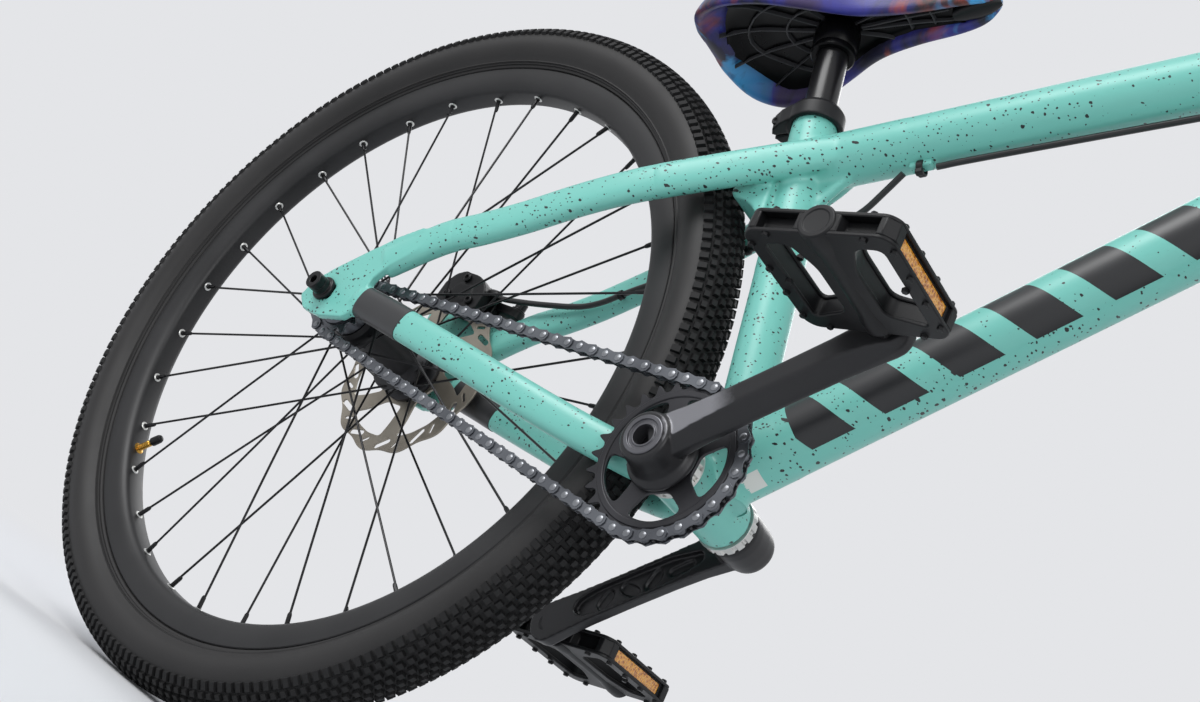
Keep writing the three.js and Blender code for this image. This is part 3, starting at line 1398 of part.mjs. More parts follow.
// Cranks.
const crankAhead = new THREE.Vector3(Math.cos(crankAngle), 0, Math.sin(crankAngle));
function crankSpot(along, left) {
  const p = bracket.clone().addScaledVector(crankAhead, along);
  p.y = left;
  return p;
}
addPiece('crank_spindle', rod(crankSpot(0, -crankOuterOffset), crankSpot(0, crankOuterOffset), spindleRadius, 16)
  .subtract(rod(crankSpot(0, -crankOuterOffset * 2), crankSpot(0, crankOuterOffset * 2), spindleBoreRadius, 16)), black, 0.4, 0.7);
const pedalBodies = [];
[['right', -1], ['left', 1]].forEach(([side, sideSign]) => {
  const reach = -sideSign * crankLength;
  const bossMiddle = sideSign * (crankInnerOffset + crankThickness / 2);
  const eyeMiddle = sideSign * (crankEyeOffset + crankThickness);
  const route = [0.06, 0.22, 0.8, 0.96].map((share) => crankSpot(
    reach * share,
    bossMiddle + (eyeMiddle - bossMiddle) * share,
  ));
  const halves = [
    [crankThickness * 0.6, crankWidth / 2],
    [crankThickness * 0.52, crankWidth / 2],
    [crankThickness * 0.48, crankWidth / 2],
    [crankThickness * 0.48, crankEyeWidth / 2],
  ];
  const bossEnd = sideSign < 0 ? sprocketOffset + halfRing + seamGap : crankInnerOffset - crankThickness / 2;
  const arm = joined([
    bar(route, halves, 8),
    rod(crankSpot(0, sideSign * bossEnd), crankSpot(0, sideSign * crankOuterOffset), crankBossRadius, 16),
    rod(
      crankSpot(reach, eyeMiddle - crankThickness / 2),
      crankSpot(reach, eyeMiddle + crankThickness / 2),
      crankEyeWidth / 2,
      12,
    ),
  ]);
  const spindleHole = rod(
    crankSpot(0, sideSign * bossEnd / 2),
    crankSpot(0, sideSign * crankOuterOffset * 2),
    spindleRadius + seamGap,
    16,
  );
  const eyeHole = rod(
    crankSpot(reach, eyeMiddle - sideSign * crankThickness * 2),
    crankSpot(reach, eyeMiddle + sideSign * crankThickness * 2),
    pedalAxleRadius + seamGap,
    12,
  );
  addPiece(`crank_arm_${side}`, arm.subtract(spindleHole).subtract(eyeHole), black, 0.4, 0.5);
  const eyeOuter = eyeMiddle + (sideSign * crankThickness) / 2;
  const collarFar = eyeOuter + sideSign * (pedalCollarLength + seamGap);
  addPiece(`pedal_axle_${side}`, joined([
    rod(
      crankSpot(reach, eyeMiddle - (sideSign * crankThickness) / 2),
      crankSpot(reach, collarFar + sideSign * pedalAxleTipLength),
      pedalAxleRadius,
      12,
    ),
    rod(crankSpot(reach, eyeOuter + sideSign * seamGap), crankSpot(reach, collarFar), pedalCollarRadius, 12),
  ]), steel, 0.35, 0.8);
  const bodyNear = collarFar + sideSign * seamGap;
  const bodyMiddle = crankSpot(reach, bodyNear + (sideSign * pedalLength) / 2);
  const body = blockAt(noShift, pedalWidth, pedalLength, pedalHeight * 0.72);
  const barrel = rod(
    new THREE.Vector3(0, -pedalLength / 2, 0),
    new THREE.Vector3(0, pedalLength / 2, 0),
    pedalBarrelRadius,
    16,
  );
  const windowWidth = pedalWidth / 2 - pedalRail - pedalBarrelRadius;
  const windowMiddle = pedalBarrelRadius + windowWidth / 2;
  const windowCuts = [-1, 1].map((end) => blockAt(
    new THREE.Vector3(end * windowMiddle, 0, 0),
    windowWidth,
    pedalLength - 2 * pedalRail,
    pedalHeight * 2,
  ));
  const boreCut = rod(
    new THREE.Vector3(0, -sideSign * pedalLength, 0),
    new THREE.Vector3(0, -sideSign * (pedalLength / 2 - pedalAxleTipLength - seamGap), 0),
    pedalAxleRadius + seamGap,
    12,
  );
  const shaped = body.subtract(windowCuts[0]).subtract(windowCuts[1]).add(barrel).subtract(boreCut);
  const placed = shaped
    .rotate([0, -THREE.MathUtils.radToDeg(pedalTwist), 0])
    .translate([bodyMiddle.x, bodyMiddle.y, bodyMiddle.z]);
  addPiece(`pedal_${side}`, placed, black, 0.6, 0.1);
  const cupSign = sideSign;
  const cupBore = spindleRadius + seamGap + axleClearance;
  const profile = [
    [shellFace - cupDepth, cupNeckRadius],
    [shellFace + seamGap, cupNeckRadius],
    [shellFace + seamGap, cupRadius],
    [shellFace + cupFlange, cupRadius],
    [shellFace + cupFlange, cupBore],
    [shellFace - cupDepth, cupBore],
  ].map(([along, radius]) => [cupSign * along, radius]);
  addPiece(`bottom_bracket_cup_${side}`, turned(profile, bracket, yAxis, 12), silver, 0.3, 0.8);
});

export default group;
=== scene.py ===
"""Looks of the dirt jump bike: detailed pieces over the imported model's bodies.

Pieces are built in millimetres, +X forward, +Y to the rider's left, +Z up, and turned to metres
when they are finished. The spots and sizes repeat those of the part's source.
"""
import math
import bmesh
import bpy
from mathutils import Matrix, Vector


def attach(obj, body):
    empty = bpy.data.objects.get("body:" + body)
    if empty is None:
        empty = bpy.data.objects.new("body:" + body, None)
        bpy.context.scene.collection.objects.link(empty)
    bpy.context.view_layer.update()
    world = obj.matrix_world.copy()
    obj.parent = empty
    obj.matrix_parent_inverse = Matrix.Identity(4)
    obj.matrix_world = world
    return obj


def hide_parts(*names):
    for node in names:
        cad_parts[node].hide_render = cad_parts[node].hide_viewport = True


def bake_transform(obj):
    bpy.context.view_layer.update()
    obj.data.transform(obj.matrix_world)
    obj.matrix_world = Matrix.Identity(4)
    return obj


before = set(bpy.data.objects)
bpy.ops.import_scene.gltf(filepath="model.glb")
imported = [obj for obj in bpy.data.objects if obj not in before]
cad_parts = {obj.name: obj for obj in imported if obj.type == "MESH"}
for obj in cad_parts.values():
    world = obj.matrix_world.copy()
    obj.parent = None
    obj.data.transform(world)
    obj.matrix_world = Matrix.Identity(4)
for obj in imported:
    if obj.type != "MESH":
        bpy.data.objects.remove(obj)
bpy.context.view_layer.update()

scene = bpy.context.scene
scene.view_settings.view_transform = "Standard"
MM = 0.001
TURN = 2 * math.pi

# Main spots and directions of the bike.
REAR = Vector((-536, 0, 335))
FRONT = Vector((536, 0, 335))
BRACKET = Vector((-153.2, 0, 321.6))
LEFT = Vector((0, 1, 0))
UP = Vector((0, 0, 1))
STEER_FOOT = Vector((498.657, 0, 320.665))
STEER_UP = Vector((-0.35837, 0, 0.93358))
STEER_AHEAD = Vector((0.93358, 0, 0.35837))
SEAT_FOOT = Vector((-134.6, 0, 321.6))
SEAT_UP = Vector((-0.36812, 0, 0.92978))
SEAT_AHEAD = Vector((0.92978, 0, 0.36812))
REACH = 382.8
HUB_HALF = 67.5
CRANK_ANGLE = math.radians(41.6)
CRANK_LENGTH = 170
RING_PLANE = -50
LEG_OUT = 59
DOWN_FOOT = Vector((-153.2, 0, 331.85))
DOWN_ALONG, DOWN_ACROSS = Vector((0.643, 0, 0.766)), Vector((-0.766, 0, 0.643))
SIDES = ((-1, "right"), (1, "left"))
MINT, DROP_BLACK, BACKDROP = "#6FBAAE", "#1B1C1E", "#E4E5E8"


def steer(along, ahead=0.0, left=0.0):
    """A spot in the fork's frame."""
    return STEER_FOOT + STEER_UP * along + STEER_AHEAD * ahead + LEFT * left


def seat(along, ahead=0.0):
    """A spot in the seat tube's frame."""
    return SEAT_FOOT + SEAT_UP * along + SEAT_AHEAD * ahead


def facing(angle):
    """A direction in the bike's middle plane, by its angle from forward towards up."""
    return Vector((math.cos(angle), 0, math.sin(angle)))


# Materials.


def shade(hex_colour):
    """An sRGB hex colour as linear RGBA."""
    parts = [int(hex_colour[i : i + 2], 16) / 255 for i in (1, 3, 5)]
    return tuple(c / 12.92 if c <= 0.04045 else ((c + 0.055) / 1.055) ** 2.4 for c in parts) + (1,)


def add(tree, kind, inputs=None, stops=(), **settings):
    """A node with its settings. Its inputs are set, or linked to a socket or a node's output."""
    node = tree.nodes.new("ShaderNode" + kind)
    for key, value in settings.items():
        setattr(node, key, value)
    for key, value in (inputs or {}).items():
        if isinstance(value, bpy.types.Node):
            value = value.outputs[0]
        if isinstance(value, bpy.types.NodeSocket):
            tree.links.new(value, node.inputs[key])
        else:
            node.inputs[key].default_value = value
    for index, (position, colour) in enumerate(stops):
        elements = node.color_ramp.elements
        element = elements[index] if index < len(elements) else elements.new(position)
        element.position, element.color = position, colour
    return node


def combined(tree, operation, values):
    """Several masks or numbers taken together, one after another."""
    total = values[0]
    for value in values[1:]:
        total = add(tree, "Math", {0: total, 1: value}, operation=operation)
    return total


def seeing_rays(tree):
    """One for the camera's rays and their reflections, zero for rays that only carry light."""
    path = add(tree, "LightPath")
    return combined(tree, "MAXIMUM", [path.outputs["Is Camera Ray"], path.outputs["Is Glossy Ray"]])


def start_material(name, grain_mm, bump_mm, rough_low, rough_high, base=None, **sockets):
    """A surface whose colour varies a little and whose grain of that size stands up by that height.

    Gives the material with its node tree, its shader and the object's own coordinates.
    """
    mat = bpy.data.materials.new(name)
    mat.use_nodes = True
    tree = mat.node_tree
    shader = tree.nodes["Principled BSDF"]
    where = add(tree, "TexCoord").outputs["Object"]
    grain = add(tree, "TexNoise", {"Vector": where, "Scale": 1 / (grain_mm * MM), "Detail": 4.0})
    broad = add(tree, "TexNoise", {"Vector": where, "Scale": 1 / (60 * MM), "Detail": 3.0})
    rough = add(tree, "MapRange", {"Value": broad, "From Min": 0.3, "From Max": 0.7,
        "To Min": rough_low, "To Max": rough_high})
    tree.links.new(rough.outputs[0], shader.inputs["Roughness"])
    if base:
        colour = add(tree, "ValToRGB", {0: broad},
                     stops=[(0.35, shade(base[0])), (0.65, shade(base[1]))])
        tree.links.new(colour.outputs["Color"], shader.inputs["Base Color"])
    bump = add(tree, "Bump", {"Height": grain, "Strength": 0.5, "Distance": bump_mm * MM})
    tree.links.new(bump.outputs[0], shader.inputs["Normal"])
    for key, value in sockets.items():
        shader.inputs[key.replace("_", " ")].default_value = value
    return mat, tree, shader, where


def finish_material(*settings, **sockets):
    """A surface that needs nothing more than its grain and its two close colours."""
    return start_material(*settings, **sockets)[0]


def specks(tree, where, cell_mm, least, most, power, seed, stretch=(1.0, 0.72, 1.25)):
    """A mask of paint drops: one in many cells, each of its own size, with ragged edges."""
    wobble = add(tree, "TexNoise", {"Vector": where, "Scale": 1 / (2.2 * MM),
        "Detail": 2.0}).outputs["Color"]
    shift = add(tree, "VectorMath", {0: wobble, 1: (0.0016, 0.0016, 0.0016)}, operation="MULTIPLY")
    moved = add(tree, "VectorMath", {0: where, 1: shift}, operation="ADD")
    placed = add(tree, "Mapping", {"Vector": moved, "Location": (seed, seed * 0.7, seed * 0.4),
        "Rotation": (0.4 + seed, 0.9, 0.3), "Scale": stretch})
    cells = add(tree, "TexVoronoi", {"Vector": placed, "Scale": 1 / (cell_mm * MM)})
    own = add(tree, "SeparateColor", {0: cells.outputs["Color"]})
    size = add(tree, "Math", {0: own, 1: power}, operation="POWER")
    limit = add(tree, "MapRange", {"Value": size, "To Min": least / cell_mm,
        "To Max": most / cell_mm})
    # Drops gather in some places and thin out in others, as they do when thrown from a brush.
    patch = add(tree, "TexNoise", {"Vector": where, "Scale": 1 / (55 * MM),
        "Detail": 1.0}).outputs["Fac"]
    thin = add(tree, "MapRange", {"Value": patch, "From Min": 0.36, "From Max": 0.56,
        "To Min": 0.4 / cell_mm, "To Max": 0.0})
    kept = add(tree, "Math", {0: limit, 1: thin}, operation="SUBTRACT")
    return add(tree, "Math", {0: cells.outputs["Distance"], 1: kept}, operation="LESS_THAN")


def paint_material(name, blocks=None):
    """Powder coat under clear: mint with thrown black drops, and bars if blocks is given."""
    mat, tree, shader, where = start_material(name, 0.9, 0.02, 0.33, 0.42, Coat_Weight=0.12,
        Coat_Roughness=0.35)
    fine = specks(tree, where, cell_mm=3.4, least=0.1, most=1.05, power=1.3, seed=0.0)
    bold = specks(tree, where, cell_mm=5.8, least=0.0, most=1.6, power=1.5, seed=0.37)
    drawn = specks(tree, where, cell_mm=9.5, least=-0.4, most=1.75, power=1.8, seed=0.71,
                   stretch=(0.42, 1.1, 1.3))
    bars = [blocks(tree, where)] if blocks else []
    dark = combined(tree, "MAXIMUM", [fine, bold, drawn] + bars)
    colour = add(tree, "Mix", {"Factor": dark, "A": shade(MINT), "B": shade(DROP_BLACK)},
                 data_type="RGBA")
    tree.links.new(colour.outputs["Result"], shader.inputs["Base Color"])
    return mat


def slanted_blocks(tree, where):
    """Printed bars along the down tube: even slanted blocks on its right lower face."""
    begin = Vector((-0.1532, 0, 0.332))
    spacing, bar_half, lean_share = 0.026, 0.0105, 0.012
    lowest, highest, first, last = -1.12, 0.72, 0.070, 0.430
    along = add(tree, "VectorMath", {0: where, 1: tuple(DOWN_ALONG)},
                operation="DOT_PRODUCT").outputs["Value"]
    over = add(tree, "VectorMath", {0: where, 1: tuple(DOWN_ACROSS)},
               operation="DOT_PRODUCT").outputs["Value"]
    split = add(tree, "SeparateXYZ", {0: where})
    rise = add(tree, "Math", {0: over, 1: begin.dot(DOWN_ACROSS)}, operation="SUBTRACT")
    right = add(tree, "Math", {0: split.outputs["Y"], 1: -1.0}, operation="MULTIPLY")
    angle = add(tree, "Math", {0: rise, 1: right}, operation="ARCTAN2")
    lean = add(tree, "Math", {0: angle, 1: lean_share, 2: along}, operation="MULTIPLY_ADD")
    step = add(tree, "Math", {0: lean, 1: spacing}, operation="PINGPONG")
    marks = [
        add(tree, "Math", {0: step, 1: bar_half}, operation="GREATER_THAN"),
        add(tree, "Math", {0: angle, 1: lowest}, operation="GREATER_THAN"),
        add(tree, "Math", {0: angle, 1: highest}, operation="LESS_THAN"),
        add(tree, "Math", {0: along, 1: begin.dot(DOWN_ALONG) + first}, operation="GREATER_THAN"),
        add(tree, "Math", {0: along, 1: begin.dot(DOWN_ALONG) + last}, operation="LESS_THAN"),
    ]
    return combined(tree, "MULTIPLY", marks)


def cover_material():
    """Printed polyester saddle cover: dark violet clouds, red-brown streaks and cyan ends."""
    mat, tree, shader, where = start_material("printed_polyester_cover", 0.7, 0.06, 0.42, 0.55,
        Sheen_Weight=0.1)
    pull = add(tree, "Mapping",
               {"Vector": where, "Scale": (1.0, 0.6, 0.45), "Rotation": (0.2, 0.1, 0.3)})
    cloud, other, third = (
        add(tree, "TexNoise", {"Vector": pull, "Scale": scale, "Detail": 5.0, "Distortion": twist})
        .outputs["Fac"] for scale, twist in ((19.0, 0.8), (27.0, 0.9), (40.0, 0.6)))
    dusk = add(tree, "ValToRGB", {0: cloud}, stops=[
        (0.34, shade("#0A0910")), (0.43, shade("#131133")), (0.5, shade("#201E6A")),
        (0.57, shade("#262680")), (0.64, shade("#2E1C50")), (0.71, shade("#0E0A17"))])
    warm = add(tree, "ValToRGB", {0: other},
               stops=[(0.54, (0, 0, 0, 1)), (0.66, (0.9, 0.9, 0.9, 1))])
    mixed = add(tree, "Mix", {"Factor": warm, "A": dusk, "B": shade("#8A3524")}, data_type="RGBA")
    split = add(tree, "SeparateXYZ", {0: where})
    middle = add(tree, "Math", {0: split.outputs["X"], 1: 0.287}, operation="ADD")
    away = add(tree, "Math", {0: middle}, operation="ABSOLUTE")
    ends = add(tree, "MapRange", {"Value": away, "From Min": 0.07, "From Max": 0.105})
    streak = add(tree, "ValToRGB", {0: third}, stops=[(0.5, (0, 0, 0, 1)), (0.58, (1, 1, 1, 1))])
    share = add(tree, "Math", {0: streak, 1: ends}, operation="MULTIPLY")
    final = add(tree, "Mix", {"Factor": share, "A": mixed.outputs["Result"], "B": shade("#3A94CC")},
                data_type="RGBA")
    tree.links.new(final.outputs["Result"], shader.inputs["Base Color"])
    return mat


def amber_material():
    """Moulded amber acrylic reflector: a grid of small prisms behind a clear face."""
    mat, tree, shader, where = start_material("moulded_amber_acrylic", 2.0, 0.02, 0.12, 0.2,
        Coat_Weight=0.6, Coat_Roughness=0.05)
    prisms = add(tree, "TexVoronoi", {"Vector": where, "Scale": 1 / (2.6 * MM)},
                 distance="MANHATTAN")
    colour = add(tree, "ValToRGB", {0: prisms.outputs["Distance"]}, stops=[
        (0.1, shade("#7A4210")), (0.55, shade("#C77A1C")), (0.9, shade("#E3A13A"))])
    tree.links.new(colour.outputs["Color"], shader.inputs["Base Color"])
    bump = add(tree, "Bump", {"Height": prisms.outputs["Distance"], "Strength": 0.6,
                              "Distance": 0.0006})
    tree.links.new(bump.outputs[0], shader.inputs["Normal"])
    return mat


def crank_material():
    """Blasted and anodised crank forging, with a painted highlight as a paler patch on the right
    arm's outer face beside its boss.
    """
    mat, tree, shader, where = start_material("anodised_crank_forging", 0.5, 0.015, 0.33, 0.42,
        Metallic=0.4)
    heading = facing(CRANK_ANGLE)
    start = BRACKET.dot(heading) * MM
    along = add(tree, "VectorMath", {0: where, 1: tuple(heading)},
                operation="DOT_PRODUCT").outputs["Value"]
    split = add(tree, "SeparateXYZ", {0: where})
    normal = add(tree, "SeparateXYZ", {0: add(tree, "NewGeometry").outputs["Normal"]})
    highlight_edge_noise = add(tree, "TexNoise", {"Vector": where, "Scale": 300.0, "Detail": 3.0}).outputs["Fac"]
    ragged = add(tree, "Math", {0: highlight_edge_noise, 1: 0.006, 2: along}, operation="MULTIPLY_ADD")
    # Painted highlight: the right arm's outward flat face near its boss is made paler, with ragged,
    # soft ends along the arm.
    marks = [
        add(tree, "MapRange", {"Value": ragged, "From Min": start + 0.016,
            "From Max": start + 0.02}),
        add(tree, "MapRange", {"Value": ragged, "From Min": start + 0.068,
            "From Max": start + 0.052}),
        add(tree, "MapRange", {"Value": normal.outputs["Y"], "From Min": -0.90, "From Max": -0.97}),
        add(tree, "Math", {0: split.outputs["Y"], 1: -0.06}, operation="LESS_THAN"),
    ]
    mask = combined(tree, "MULTIPLY", marks)
    colour = add(tree, "Mix", {"Factor": mask, "A": shade("#242426"), "B": shade("#7C7C80")},
                 data_type="RGBA")
    tree.links.new(colour.outputs["Result"], shader.inputs["Base Color"])
    return mat


# A finish names its grain and grain height in millimetres, its least and most roughness, and the
# two base colours that it varies between.
PAINT = paint_material("speckled_mint_powder_coat")
PAINT_BLOCKS = paint_material("speckled_mint_powder_coat_with_bars", slanted_blocks)
# Black paint bands on the chainstays: the same coat without drops.
BAND = finish_material("satin_black_powder_coat", 0.8, 0.02, 0.36, 0.46, ("#1A1B1D", "#222325"),
                       Coat_Weight=0.2, Coat_Roughness=0.3)
# Blasted and anodised aluminium of cranks, stem and bar: dark, soft highlight.
ANODISED = finish_material("anodised_aluminium", 0.5, 0.015, 0.34, 0.44, ("#1A1A1C", "#232326"),
                           Metallic=0.35)
# Anodised rim: duller than the hubs, a soft grey-black beside the tyre.
RIM = finish_material("anodised_rim_aluminium", 0.6, 0.02, 0.42, 0.52, ("#1B1B1C", "#242425"),
                      Metallic=0.25)
# Machined face of the crank boss and the ring's rim.
MACHINED = finish_material("machined_anodised_aluminium", 0.4, 0.01, 0.28, 0.38,
                           ("#5A5A5E", "#6C6C70"), Metallic=0.8)
# Black spokes and bolts: oxide coat on steel.
OXIDE = finish_material("black_oxide_steel", 0.5, 0.01, 0.3, 0.42, ("#161617", "#222224"),
                        Metallic=0.6)
# Phosphated links: mid grey with broad highlights.
CHAIN = finish_material("phosphate_chain_steel", 0.6, 0.02, 0.26, 0.38, ("#585A5F", "#6C6F74"),
                        Metallic=0.85)
# Riveted pin ends: brighter, where they were pressed.
PIN = finish_material("riveted_pin_steel", 0.6, 0.005, 0.3, 0.38, ("#77797D", "#898B8F"),
                      Metallic=0.85)
# Stamped stainless steel: warm grey with a soft sheen.
ROTOR = finish_material("stamped_stainless_steel", 0.5, 0.01, 0.3, 0.42, ("#8A8378", "#A09A8E"),
                        Metallic=0.8)
# Brushed aluminium cups and eyelets: the palest metal on the bike.
CUP = finish_material("brushed_cup_aluminium", 0.5, 0.02, 0.26, 0.36, ("#BDBEBC", "#D6D6D2"),
                      Metallic=0.75)
# Turned brass valve: yellow with tight highlights.
BRASS = finish_material("turned_brass", 0.4, 0.01, 0.22, 0.32, ("#B58A3C", "#CFA653"),
                        Metallic=0.95)
# Tread rubber: matt and nearly black.
RUBBER = finish_material("tread_rubber", 1.1, 0.08, 0.62, 0.78, ("#0C0C0D", "#151516"),
                         Specular_IOR_Level=0.35)
# Sidewall rubber: smoother and a little paler than the tread.
SIDEWALL = finish_material("sidewall_rubber", 0.9, 0.05, 0.5, 0.62, ("#161515", "#1F1E1E"),
                           Specular_IOR_Level=0.4)
# Grip rubber: matt all over.
GRIP = finish_material("grip_rubber", 0.8, 0.05, 0.6, 0.75, ("#161617", "#202022"))
# Machined grey anodised ring: paler than the cranks.
RING = finish_material("machined_grey_anodised_aluminium", 0.4, 0.012, 0.34, 0.44,
                       ("#2C2C2F", "#38383B"), Metallic=0.6)
# Moulded nylon: black with a broad, weak highlight.
PLASTIC = finish_material("moulded_nylon", 0.9, 0.05, 0.38, 0.5, ("#0A0A0C", "#121315"),
                          Specular_IOR_Level=0.28)
# Moulded polypropylene saddle base: the darkest surface, smooth.
SHELL = finish_material("moulded_polypropylene", 1.0, 0.04, 0.24, 0.32, ("#050506", "#0A0A0B"),
                        Specular_IOR_Level=0.1)
# Gloss black post: a clear, narrow highlight.
POST = finish_material("gloss_black_aluminium", 0.6, 0.006, 0.24, 0.32, ("#0C0C0D", "#121213"),
                       Specular_IOR_Level=0.4)
# Gloss black magnesium: its clear coat gives sharp reflections.
FORK = finish_material("gloss_black_magnesium", 0.8, 0.02, 0.2, 0.28, ("#141416", "#1C1C1E"),
                       Coat_Weight=0.4)
# Rib edges of the saddle shell: the same polypropylene as its skin, painted a little paler as a
# highlight along the ribs.
RIB = finish_material("moulded_polypropylene_rib", 1.0, 0.02, 0.3, 0.4, ("#2E2E30", "#3A3A3C"),
                      Specular_IOR_Level=0.3)
# Hose nylon: one thin highlight along it.
HOSE = finish_material("hose_nylon", 0.8, 0.02, 0.3, 0.4, ("#141415", "#1D1D1E"))
# Blank vinyl label: even off-white.
LABEL = finish_material("blank_vinyl_label", 0.8, 0.01, 0.3, 0.36, ("#CBCFC9", "#D4D7D2"))
CRANK = crank_material()
COVER = cover_material()
# Polyester thread: dark blue-violet, a little fuzzy.
THREAD = finish_material("polyester_thread", 0.5, 0.03, 0.5, 0.6, ("#20203A", "#2A2A4A"))
# Hard-anodised stanchions: near black with a sharp highlight.
STANCHION = finish_material("hard_anodised_tube", 0.5, 0.004, 0.1, 0.16, ("#141416", "#1B1B1E"),
                            Metallic=0.5)
AMBER = amber_material()

# Mesh tools.


def placing(x, y, z, spot):
    """A placing with those three axes at a spot."""
    matrix = Matrix((x, y, z)).transposed().to_4x4()
    matrix.translation = spot
    return matrix


def side_plane(origin):
    """A placing in the bike's side plane: X forward, Y up."""
    return placing((1, 0, 0), (0, 0, 1), (0, -1, 0), origin)


def side_outline(spots, origin):
    """Spots of the bike's middle plane as an outline in the side plane at an origin."""
    return [((p - origin).x, (p - origin).z) for p in spots]


def framed(centre, axis, up=None):
    """A placing whose Z is the axis and whose Y leans towards up."""
    z = Vector(axis).normalized()
    guide = Vector(up) if up is not None else (UP if abs(z.z) < 0.95 else Vector((1, 0, 0)))
    x = guide.cross(z).normalized()
    return placing(x, z.cross(x), z, centre)


def ring(bm, matrix, wide, tall, sides, square=1.0):
    """A loop of vertices, from round to nearly square."""
    verts = bmesh.ops.create_circle(bm, radius=1, segments=sides)["verts"]
    for v in verts:
        x, y = v.co.x, v.co.y
        v.co.x = math.copysign(abs(x) ** square, x) * wide
        v.co.y = math.copysign(abs(y) ** square, y) * tall
    bmesh.ops.transform(bm, matrix=matrix, verts=verts)
    return verts


def loop_edges(verts):
    """The edges that join these vertices."""
    kept = set(verts)
    return list({e for v in verts for e in v.link_edges if e.verts[0] in kept
                 and e.verts[1] in kept})


def skin(bm, rings, capped=True):
    """Bridges loops one after another and closes the ends."""
    for near, far in zip(rings, rings[1:]):
        bmesh.ops.bridge_loops(bm, edges=loop_edges(near) + loop_edges(far))
    if capped:
        bmesh.ops.contextual_create(bm, geom=loop_edges(rings[0]))
        bmesh.ops.contextual_create(bm, geom=loop_edges(rings[-1]))


def smooth_line(points, steps):
    """More points along a smooth line through the given ones."""
    points = [Vector(p) for p in points]
    line = []
    for i in range(len(points) - 1):
        p0, p1, p2, p3 = (points[max(i - 1, 0)], points[i], points[i + 1],
                          points[min(i + 2, len(points) - 1)])
        for k in range(steps):
            t = k / steps
            line.append(0.5 * ((2 * p1) + (p2 - p0) * t + (2 * p0 - 5 * p1 + 4 * p2 - p3) * t * t
                + (3 * p1 - p0 - 3 * p2 + p3) * t ** 3))
    return line + [points[-1]]


def tube(bm, points, halves, sides=24, square=1.0, up=None, capped=True):
    """A bar along points. Each half is a radius or (half width, half height)."""
    points = [Vector(p) for p in points]
    rings = []
    for i, point in enumerate(points):
        ahead = points[min(i + 1, len(points) - 1)] - points[max(i - 1, 0)]
        half = halves[i] if isinstance(halves, list) else halves
        wide, tall = half if isinstance(half, tuple) else (half, half)
        rings.append(ring(bm, framed(point, ahead, up), wide, tall, sides, square))
    skin(bm, rings, capped)


def turned(bm, profile, origin, axis, steps=48, closed=False):
    """A turned form from (along, radius) points about an axis."""
    place = framed(origin, axis)
    verts = [bm.verts.new(place @ Vector((radius, 0, along))) for along, radius in profile]
    edges = [bm.edges.new(pair) for pair in zip(verts, verts[1:])]
    if closed:
        edges.append(bm.edges.new((verts[-1], verts[0])))
    bmesh.ops.spin(bm, geom=verts + edges, cent=origin, axis=Vector(axis).normalized(),
                   dvec=(0, 0, 0), angle=TURN, steps=steps, use_merge=True)


def plate(bm, outline, holes, place, thickness):
    """A flat plate with openings, drawn in the placing's X-Y plane and thickened along its Z."""
    edges = []
    for loop in [outline] + list(holes):
        verts = [bm.verts.new(place @ Vector((x, y, -thickness / 2))) for x, y in loop]
        edges += [bm.edges.new((verts[i - 1], verts[i])) for i in range(len(verts))]
    made = bmesh.ops.triangle_fill(bm, use_beauty=True, use_dissolve=False, edges=edges)
    faces = [g for g in made["geom"] if isinstance(g, bmesh.types.BMFace)]
    grown = bmesh.ops.extrude_face_region(bm, geom=faces, use_keep_orig=True)
    top = [g for g in grown["geom"] if isinstance(g, bmesh.types.BMVert)]
    bmesh.ops.translate(bm, verts=top, vec=place.to_3x3() @ Vector((0, 0, thickness)))


def box(bm, place, x, y, z):
    """A block centred on a placing."""
    bmesh.ops.create_cube(bm, size=1, matrix=place @ Matrix.Diagonal((x, y, z, 1)))


def closed_loop(bm, spots):
    """A loop of vertices joined by edges."""
    verts = [bm.verts.new(spot) for spot in spots]
    for i in range(len(verts)):
        bm.edges.new((verts[i - 1], verts[i]))
    return verts


def rounded(points, radius, steps=4):
    """A polygon's outline with its corners rounded off."""
    outline = []
    for i, point in enumerate(points):
        here = Vector(point)
        before = Vector(points[i - 1]) - here
        after = Vector(points[(i + 1) % len(points)]) - here
        cut = min(radius, before.length / 2.1, after.length / 2.1)
        start, end = here + before.normalized() * cut, here + after.normalized() * cut
        for k in range(steps + 1):
            t = k / steps
            outline.append(tuple(start * (1 - t) ** 2 + here * 2 * t * (1 - t) + end * t * t))
    return outline


def capsule(start, end, radius, steps=4):
    """An outline with two round ends."""
    start, end = Vector(start), Vector(end)
    lean = math.atan2((end - start).y, (end - start).x)
    outline = []
    for middle, first in ((end, lean - math.pi / 2), (start, lean + math.pi / 2)):
        for k in range(steps + 1):
            a = first + math.pi * k / steps
            outline.append((middle.x + radius * math.cos(a), middle.y + radius * math.sin(a)))
    return outline


def polar(radius, angle):
    """A spot in a plane by its distance and angle from the middle."""
    return radius * math.cos(angle), radius * math.sin(angle)


def circle(radius, count, centre=(0, 0)):
    """A round outline."""
    spots = [polar(radius, TURN * i / count) for i in range(count)]
    return [(centre[0] + x, centre[1] + y) for x, y in spots]


